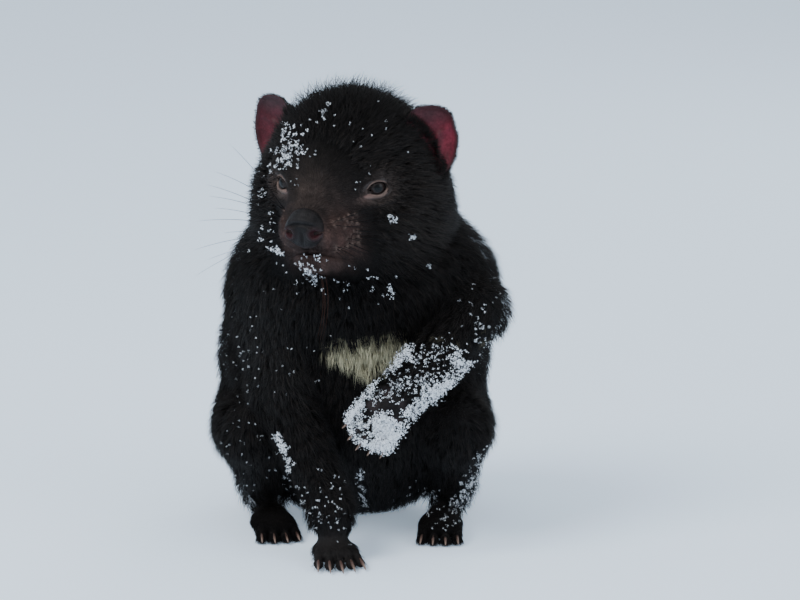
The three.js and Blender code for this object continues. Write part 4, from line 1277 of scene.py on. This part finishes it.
# The hair of the face and paws is so short that it is nearly straight.
crowding = smooth(short, 0.3, 0.6) * (1.4 + 0.3 * face_nearness(middles))
crowding = crowding * smooth(eye_distance(middles), 12, 15.5)
crowding = crowding * (1 - 0.92 * smooth(to_head(middles)[:, 0], 74, 80)) * smooth(middles[:, 2], 0.5, 3)
crowding = crowding * (1 - sole_side(middles, middle_normals)) * (1 - 0.95 * whisker_spots(middles, 1.9))
crowding = crowding * (1 - 0.6 * whisker_pad(middles))
for side, sign in SIDES:
    corner = EYE_PLACES[side] + (7, -9 * sign, -6)
    crowding = crowding * (1 - np.clip(1.5 * around_place(to_head(middles), corner, (11, 8, 5)), 0, 1))
roots, normals, places = roots_on(skin_surface, FACE_TUFTS, crowding, 5)
part = regions(roots)
depths = coat_depth(roots)
ways = along(lie_of_hair(roots, part), normals)
ways = along(ways + draw.normal(0, 0.12, ways.shape), normals)
lengths = np.clip(depths * 1.6 + 1.2 + draw.normal(0, 0.4, len(roots)), 1.3, 8)
lengths = lengths * (1 - 0.6 * whisker_pad(roots)) * (1 + 0.5 * paw_nearness(roots))
heights = np.clip(depths * (0.5 + draw.normal(0, 0.1, len(roots))), 0.3, 4)
widths = 0.11 + 0.024 * lengths
tone = np.clip(draw.lognormal(0, 0.33, len(roots)), 0.45, 2.6)[:, None]
colours = markings(roots) * tone
on_face = part["head"] < np.minimum(part["arm_left"], part["arm_right"])
left_side = to_head(roots)[:, 1] > 0
for name, members in (
    ("coat_face_left", on_face & left_side),
    ("coat_face_right", on_face & ~left_side),
    ("coat_paws", ~on_face),
):
    rows = (roots, normals, ways, lengths, heights, widths, places, colours)
    tuft_mesh(name, *[row[members] for row in rows], bent=False)

# Each ear is haired on its back and along its rim, and long hair stands before the foot of the cup.
for side, sign in SIDES:
    ear_points, ear_quads, unwrap, rim_share, on_back = ears[side]
    triangles = np.concatenate([ear_quads[:, [0, 1, 2]], ear_quads[:, [0, 2, 3]]])
    corners = ear_points[triangles]
    flat = unit(np.cross(corners[:, 1] - corners[:, 0], corners[:, 2] - corners[:, 0]))
    sums = [np.bincount(triangles.ravel(), np.repeat(flat[:, axis], 3)) for axis in range(3)]
    ear_normals = unit(np.stack(sums, 1))
    if volume(ear_points, ear_quads) < 0:
        ear_normals = -ear_normals
    above_head = head_form(corners.mean(1))
    back = on_back[triangles].mean(1)
    rim = smooth(rim_share[triangles].mean(1), 0.9, 0.98)
    foot = (1 - smooth(above_head, 0, 4)) * (above_head > -2)
    crowding = (back * (1 - 0.7 * rim) + 0.15 * rim + 0.9 * foot) * (above_head > -2)
    surface = (ear_points, ear_normals, triangles, unwrap[triangles])
    roots, normals, places = roots_on(surface, EAR_TUFTS, crowding, 7 + sign)
    at_foot = 1 - smooth(head_form(roots), 0, 4)
    ways = along(unit(roots - from_head(np.array(EAR_PLACES[side][0]) - (6, 14 * sign, 8))), normals)
    ways = along(ways + draw.normal(0, 0.25, ways.shape), normals)
    lengths = 3.0 + 4 * at_foot + draw.normal(0, 0.6, len(roots))
    heights = lengths * (0.3 + 0.15 * at_foot + draw.normal(0, 0.06, len(roots)))
    tone = np.clip(draw.lognormal(0, 0.4, len(roots)), 0.45, 3)[:, None]
    widths = np.full(len(roots), EAR_HAIR_WIDTH)
    colours = COAT_BLACK * 1.3 * tone
    rows = (roots, normals, ways, lengths, heights, widths, places, colours)
    tuft_mesh("coat_ear_" + side, *rows, bent=True)


# Whiskers
# Long, stiff, dark hairs from the upper lips, the brows and the cheeks, and a few soft chin hairs.
# Each stands in its own root and bends back a little under its own weight.

STRAND_RINGS = 9
WHISKER_BLACK = np.array([0.006, 0.005, 0.005])
CHIN_HAIR_BROWN = np.array([0.055, 0.024, 0.017])
LEFT_WHISKER_RADIUS = 0.27
RIGHT_WHISKER_RADIUS = 0.34
CHIN_HAIR_RADIUS = 0.24
BROW_AND_CHEEK_WHISKERS = (
    # root, way and length, on the left side and in the head's own measures
    ((40, 20, 27), (0.35, 0.3, 0.9), 26),
    ((38, 26, 28), (0.2, 0.5, 0.85), 30),
    ((35, 32, 27), (0.1, 0.75, 0.7), 24),
    ((30, 47, -16), (0.1, 0.9, -0.2), 28),
    ((27, 50, -20), (0.0, 0.9, -0.35), 24),
)


def strand_mesh(name, strands, radius, colour):
    """One mesh of thin tapered hairs, each along a curve from its start past its bend to its end."""
    points = []
    faces = []
    for number, (start, bend, end) in enumerate(strands):
        aim = unit(end - start)
        side_way = unit(np.cross(aim, (0.3, 0.2, 0.9)))
        other_way = np.cross(aim, side_way)
        for step in range(STRAND_RINGS):
            share = step / STRAND_RINGS
            middle = (1 - share) ** 2 * start + 2 * share * (1 - share) * bend + share**2 * end
            for angle in (0, 2.1, 4.2):
                offset = side_way * math.cos(angle) + other_way * math.sin(angle)
                points.append(middle + offset * radius * (1 - 0.8 * share))
        points.append(end)
        first = number * (3 * STRAND_RINGS + 1)
        top = first + 3 * STRAND_RINGS
        faces.append((first, first + 2, first + 1))
        for one, two in ((0, 1), (1, 2), (2, 0)):
            faces.append((top - 3 + one, top - 3 + two, top))
            for step in range(STRAND_RINGS - 1):
                low = first + 3 * step
                faces.append((low + one, low + two, low + 3 + two))
                faces.append((low + one, low + 3 + two, low + 3 + one))
    piece = new_piece(name, np.array(points), np.array(faces))
    paint(piece, np.tile(colour, (len(points), 1)))
    unwrap = piece.data.uv_layers.new(name="OFBake")
    unwrap.data.foreach_set("uv", np.full(len(faces) * 6, 0.5, np.float32))
    piece.data.materials.append(coat_material)
    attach(piece, "root")


draw = np.random.default_rng(11)
for side, sign in SIDES:
    strands = []
    for index, root in enumerate(whisker_roots):
        row, column = divmod(index, WHISKER_COLUMNS)
        if side == "right" and column > 2:
            continue
        length = (20 + 9 * column) * (1 - 0.08 * row) * draw.uniform(0.8, 1.15)
        way = (0.30 - 0.19 * column, sign * (0.9 + 0.05 * column), 0.34 - 0.19 * row)
        way = unit(way + draw.normal(0, 0.07, 3))
        start = root * (1, sign, 1)
        bend = start + way * length * 0.5
        end = start + way * length + np.array((-0.12, 0, -0.13)) * length
        strands.append([from_head(place) for place in (start - way * 1.5, bend, end)])
    for spot, way, length in BROW_AND_CHEEK_WHISKERS:
        start = settled(skin_form, from_head(np.array(spot) * (1, sign, 1))[None], 5)[0]
        way = unit(np.array(way) * (1, sign, 1)) @ HEAD_AXES
        strands.append((start, start + way * length * 0.5, start + way * length - (0, 0, 0.15 * length)))
strand_mesh("whiskers_left", strands, LEFT_WHISKER_RADIUS, WHISKER_BLACK)

VIEW_RISE = math.radians(12)
VIEW_DISTANCE = 3500
VIEW_UP = np.array([0, math.sin(VIEW_RISE), math.cos(VIEW_RISE)])
VIEW_BACK = np.array([0, -math.cos(VIEW_RISE), math.sin(VIEW_RISE)])
VIEW_MIDDLE = np.array([36.75, 0, 10]) + 159.75 * VIEW_UP
SIGHT_START = VIEW_DISTANCE - 220
SIGHT_STEPS = 45
SIGHT_SLACK = 0.8
WHISKER_ENDS_AHEAD = 105


def seen_from_front(across, above, form=hair_tips, layer=0):
    """Where lines of sight meet a form with a layer on it, and which of them do meet it.

    Each line passes so far to the right of the middle of the view and so far above it.
    """
    eye = VIEW_MIDDLE + VIEW_BACK * VIEW_DISTANCE
    through = VIEW_MIDDLE + np.outer(across, (1, 0, 0)) + np.outer(above, VIEW_UP)
    way = unit(through - eye)
    gone = np.full(len(way), float(SIGHT_START))
    for _ in range(SIGHT_STEPS):
        off = form(eye + way * gone[:, None]) - layer
        gone += np.clip(off, -8, 60) * 0.9
    points = eye + way * gone[:, None]
    return points, np.abs(off) < SIGHT_SLACK


def lifted_arm_form(points):
    return arm_form(points, LEFT_ARM, "forepaw_left")


# The long whiskers of the right side reach past the outline of the cheek.
# The strands so far are the left side's: this piece repeats them, and lacks its own side's short ones.
RIGHT_WHISKER_ENDS = (
    (-129, 118), (-141, 97), (-147, 87), (-145, 78), (-141, 69),
    (-153, 59), (-156, 37), (-155, 17), (-147, 29), (-134, 50),
)
for number, (across_end, above_end) in enumerate(RIGHT_WHISKER_ENDS):
    row, column = number // 2, 3 + number % 2
    start = from_head(whisker_roots[WHISKER_COLUMNS * row + column] * (1, -1, 1))
    end = across_end * np.array([1, 0, 0]) + above_end * VIEW_UP
    end = VIEW_MIDDLE + VIEW_BACK * WHISKER_ENDS_AHEAD + end * (1 - WHISKER_ENDS_AHEAD / VIEW_DISTANCE)
    strands.append((start, (start + end) / 2 + (0, -4, 7), end))
strand_mesh("whiskers_right", strands, RIGHT_WHISKER_RADIUS, WHISKER_BLACK)

chin_points = seen_from_front(np.array([-58.5, -55.5, -61.5]), np.array([17.0, -4.0, -34.0]))[0]
chin_points[1:] += (0, -7, 0)
chin_points[1] += (3, -6, 0)
chin_strands = [chin_points + offset for offset in ((0, 0, 0), (2.2, 0.5, 1.5), (-1.4, 0, 3))]
strand_mesh("chin_hairs", chin_strands, CHIN_HAIR_RADIUS, CHIN_HAIR_BROWN)


# Snow
# Loose grains of snow that cling to the hair tips, thickest on the lifted left paw and its forearm.
# They lie on the coat as separate small crystals, in pieces of their own that can be left away.

SNOW_PATCHES = {
    "head": (
        # from across, above, to across, above, spread, clumps, largest grain
        (-86, 131, -79, 117, 4.5, 34, 0.65),
        (-79, 117, -92, 100, 4.2, 50, 0.68),
        (-92, 108, -66, 104, 8, 22, 0.45),
        (-61, 132, -54, 148, 1.5, 14, 0.55),
        (-60, 130, -12, 112, 17, 14, 0.38),
        (-107, 84, -106, 70, 2.6, 14, 0.55),
        (-96, 66, -96, 50, 1.6, 9, 0.45),
        (-110, 54, -98, 45, 4, 9, 0.6),
        (-96, 37, -86, 34, 1.5, 12, 0.9),
        (-60, 34, -61, 31, 1.0, 4, 0.8),
        (-74, 24, -62, 15, 3.0, 28, 0.65),
        (-94, 22, -5, 10, 8, 46, 0.45),
        (-7, 61, -4, 60, 1.5, 8, 0.8),
        (8, 48, 10, 47, 1.2, 6, 0.75),
        (20, 28, 22, 26, 1.4, 4, 0.6),
        (-10, 9, -6, 6, 2.4, 10, 0.7),
        (-22, 96, -40, 88, 4, 5, 0.35),
        (-84, 92, -78, 84, 4, 4, 0.3),
    ),
    "body": (
        (54, 0, 68, -40, 5, 34, 0.5),
        (35, -20, 66, 4, 8, 12, 0.4),
        (-120, -10, -114, -150, 8, 70, 0.36),
        (-94, -99, -81, -127, 2.0, 80, 0.6),
        (-92, -126, -60, -165, 4, 36, 0.42),
        (-54, -136, -35, -180, 7, 50, 0.42),
        (-30, -128, -26, -160, 1.6, 40, 0.55),
        (66, -116, 42, -158, 4.5, 170, 0.5),
        (14, -143, 40, -168, 7, 50, 0.42),
        (-110, -40, -60, -60, 20, 22, 0.33),
    ),
    "lifted_paw": (
        (-38, -88, -22, -62, 2.4, 220, 0.68),
        (-22, -62, 8, -36, 2.4, 230, 0.68),
        (-39, -86, -36, -106, 2.4, 110, 0.68),
        (-30, -84, -28, -100, 3.0, 60, 0.5),
        (-18, -92, -2, -98, 4.6, 360, 0.75),
        (-16, -106, -6, -110, 5.0, 190, 0.75),
        (6, -90, 22, -72, 4.2, 190, 0.68),
        (22, -72, 62, -49, 3.2, 330, 0.7),
        (-2, -46, 36, -38, 5.5, 90, 0.42),
        (-8, -64, 30, -58, 5, 150, 0.46),
        (43, -40, 51, -58, 3.4, 110, 0.7),
        (-34, -106, -14, -113, 2.4, 110, 0.66),
        (-22, -76, -6, -70, 3.0, 40, 0.42),
    ),
}
SNOW_WHITE = (0.86, 0.89, 0.93, 1)
SNOW_DEPTH = 5
SNOW_FLOOR = 0.3
CLUMP_GRAINS = (3, 13)
snow_material = plain_material("Snow", Base_Color=SNOW_WHITE, Roughness=0.55)[0]


def grain_tree():
    """Geometry Nodes that put an eight-sided crystal on each point, at the point's own size."""
    tree = bpy.data.node_groups.new("Snow grains", "GeometryNodeTree")
    entries = {"Points": "Geometry", "Narrowest": "Float", "Widest": "Float", "Seed": "Int"}
    for name, kind in entries.items():
        tree.interface.new_socket(name, in_out="INPUT", socket_type="NodeSocket" + kind)
    tree.interface.new_socket("Grains", in_out="OUTPUT", socket_type="NodeSocketGeometry")
    nodes = tree.nodes
    links = tree.links
    entry = nodes.new("NodeGroupInput")
    crystal = nodes.new("GeometryNodeMeshUVSphere")
    crystal.inputs["Segments"].default_value = 4
    crystal.inputs["Rings"].default_value = 2
    size = nodes.new("GeometryNodeInputNamedAttribute")
    size.data_type = "FLOAT"
    size.inputs["Name"].default_value = "grain_size"
    stretch = nodes.new("FunctionNodeRandomValue")
    turn = nodes.new("FunctionNodeRandomValue")
    for chance in (stretch, turn):
        chance.data_type = "FLOAT_VECTOR"
        links.new(entry.outputs["Seed"], chance.inputs["Seed"])
    links.new(entry.outputs["Narrowest"], stretch.inputs[0])
    links.new(entry.outputs["Widest"], stretch.inputs[1])
    turn.inputs[1].default_value = (math.tau, math.tau, math.tau)
    scaled = nodes.new("ShaderNodeVectorMath")
    scaled.operation = "SCALE"
    links.new(stretch.outputs[0], scaled.inputs[0])
    links.new(size.outputs["Attribute"], scaled.inputs["Scale"])
    placed = nodes.new("GeometryNodeInstanceOnPoints")
    links.new(entry.outputs["Points"], placed.inputs["Points"])
    links.new(crystal.outputs["Mesh"], placed.inputs["Instance"])
    links.new(turn.outputs[0], placed.inputs["Rotation"])
    links.new(scaled.outputs["Vector"], placed.inputs["Scale"])
    real = nodes.new("GeometryNodeRealizeInstances")
    coated = nodes.new("GeometryNodeSetMaterial")
    coated.inputs["Material"].default_value = snow_material
    leave = nodes.new("NodeGroupOutput")
    links.new(placed.outputs["Instances"], real.inputs["Geometry"])
    links.new(real.outputs["Geometry"], coated.inputs["Geometry"])
    links.new(coated.outputs["Geometry"], leave.inputs["Grains"])
    return tree


def grown(name, centres, radii, tree, **sizes):
    """A plain mesh of what the tree puts on points in millimetres, kept above the ground."""
    mesh = bpy.data.meshes.new(name)
    mesh.from_pydata(((centres + SHIFT) / 1000).tolist(), [], [])
    sizes_of_points = mesh.attributes.new("grain_size", "FLOAT", "POINT")
    sizes_of_points.data.foreach_set("value", (radii / 1000).astype(np.float32))
    piece = bpy.data.objects.new(name, mesh)
    bpy.context.scene.collection.objects.link(piece)
    modifier = piece.modifiers.new("Grains", "NODES")
    modifier.node_group = tree
    for socket in tree.interface.items_tree:
        if socket.in_out == "INPUT" and socket.name in sizes:
            modifier[socket.identifier] = sizes[socket.name]
    evaluated = piece.evaluated_get(bpy.context.evaluated_depsgraph_get())
    solid = bpy.data.meshes.new_from_object(evaluated)
    piece.modifiers.clear()
    piece.data = solid
    points = points_of(piece)
    points[:, 2] = np.maximum(points[:, 2], SNOW_FLOOR)
    place_points(solid, points)
    solid.update()
    return piece


snow_grains = grain_tree()
draw = np.random.default_rng(17)
for name, patches in SNOW_PATCHES.items():
    centres = []
    radii = []
    for across, above, to_across, to_above, spread, clumps, largest in patches:
        share = draw.uniform(0, 1, clumps)
        grains = draw.integers(*CLUMP_GRAINS, clumps)
        clump_across = across + (to_across - across) * share + draw.normal(0, spread, clumps)
        clump_above = above + (to_above - above) * share + draw.normal(0, spread, clumps)
        loose = draw.normal(0, largest * 1.1, (2, grains.sum()))
        seen = (np.repeat(clump_across, grains) + loose[0], np.repeat(clump_above, grains) + loose[1])
        layer = SNOW_DEPTH * draw.uniform(0, 1, grains.sum()) ** 1.5
        form = (lifted_arm_form, layer) if name == "lifted_paw" else (hair_tips, 0)
        met, on_coat = seen_from_front(*seen, *form)
        size = largest * (0.25 + 0.65 * draw.uniform(0, 1, len(met)) ** 1.6)
        lifted = met + VIEW_BACK * (size * draw.uniform(-0.3, 1.2, len(met)))[:, None]
        centres.append(lifted[on_coat])
        radii.append(size[on_coat])
    centres = np.concatenate(centres)
    radii = np.concatenate(radii)
    shape = {"Narrowest": 0.55, "Widest": 1.45, "Seed": len(centres)}
    snow = grown("snow_" + name, centres, radii, snow_grains, **shape)
    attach(snow, "root")


# Floor, light and camera
# A plain pale floor under a pale sky, lit softly: a broad key light from the upper left,
# a weak fill from the right and a weaker light from behind.
# The camera looks down a little from in front, far enough away for a flat perspective.

FLOOR_TINT = (0.80, 0.90, 1.0, 1)
FLOOR_GLOW = (0.66, 0.82, 1.0, 1)
SKY_TINT = (0.77, 0.87, 0.99, 1)
SKY_STRENGTH = 0.82
LIGHTS_AIM = (0, 0, 0.2)
VIEW_WIDTH = 600

bpy.ops.mesh.primitive_plane_add(size=60)
floor = bpy.context.object
floor.name = "floor"
floor_glow = {"Emission_Color": FLOOR_GLOW, "Emission_Strength": 0.38}
floor_material = plain_material("Pale floor", Base_Color=FLOOR_TINT, Roughness=0.9, **floor_glow)[0]
floor.data.materials.append(floor_material)

world = bpy.data.worlds.new("Studio")
bpy.context.scene.world = world
world.use_nodes = True
world.node_tree.nodes["Background"].inputs["Color"].default_value = SKY_TINT
world.node_tree.nodes["Background"].inputs["Strength"].default_value = SKY_STRENGTH


def soft_light(name, place, size, power, colour):
    light = bpy.data.lights.new(name, "AREA")
    light.shape = "DISK"
    light.size = size
    light.energy = power
    light.color = colour
    lamp = bpy.data.objects.new(name, light)
    lamp.location = place
    lamp.rotation_euler = (Vector(LIGHTS_AIM) - Vector(place)).to_track_quat("-Z", "Y").to_euler()
    bpy.context.scene.collection.objects.link(lamp)


soft_light("Key", (-1.3, -1.1, 2.0), 1.3, 46, (0.96, 0.98, 1.0))
soft_light("Fill", (1.8, -1.2, 1.0), 1.6, 14, (0.92, 0.96, 1.0))
soft_light("Rim", (0.9, 1.6, 1.3), 1.4, 8, (0.95, 0.98, 1.0))

camera = bpy.data.objects.new("camera", bpy.data.cameras.new("camera"))
camera.location = (VIEW_MIDDLE + VIEW_BACK * VIEW_DISTANCE + SHIFT) / 1000
camera.rotation_euler = Vector(-VIEW_BACK).to_track_quat("-Z", "Y").to_euler()
camera.data.sensor_width = 36
camera.data.lens = camera.data.sensor_width * VIEW_DISTANCE / VIEW_WIDTH
camera.data.clip_end = 100
bpy.context.scene.collection.objects.link(camera)
bpy.context.scene.camera = camera
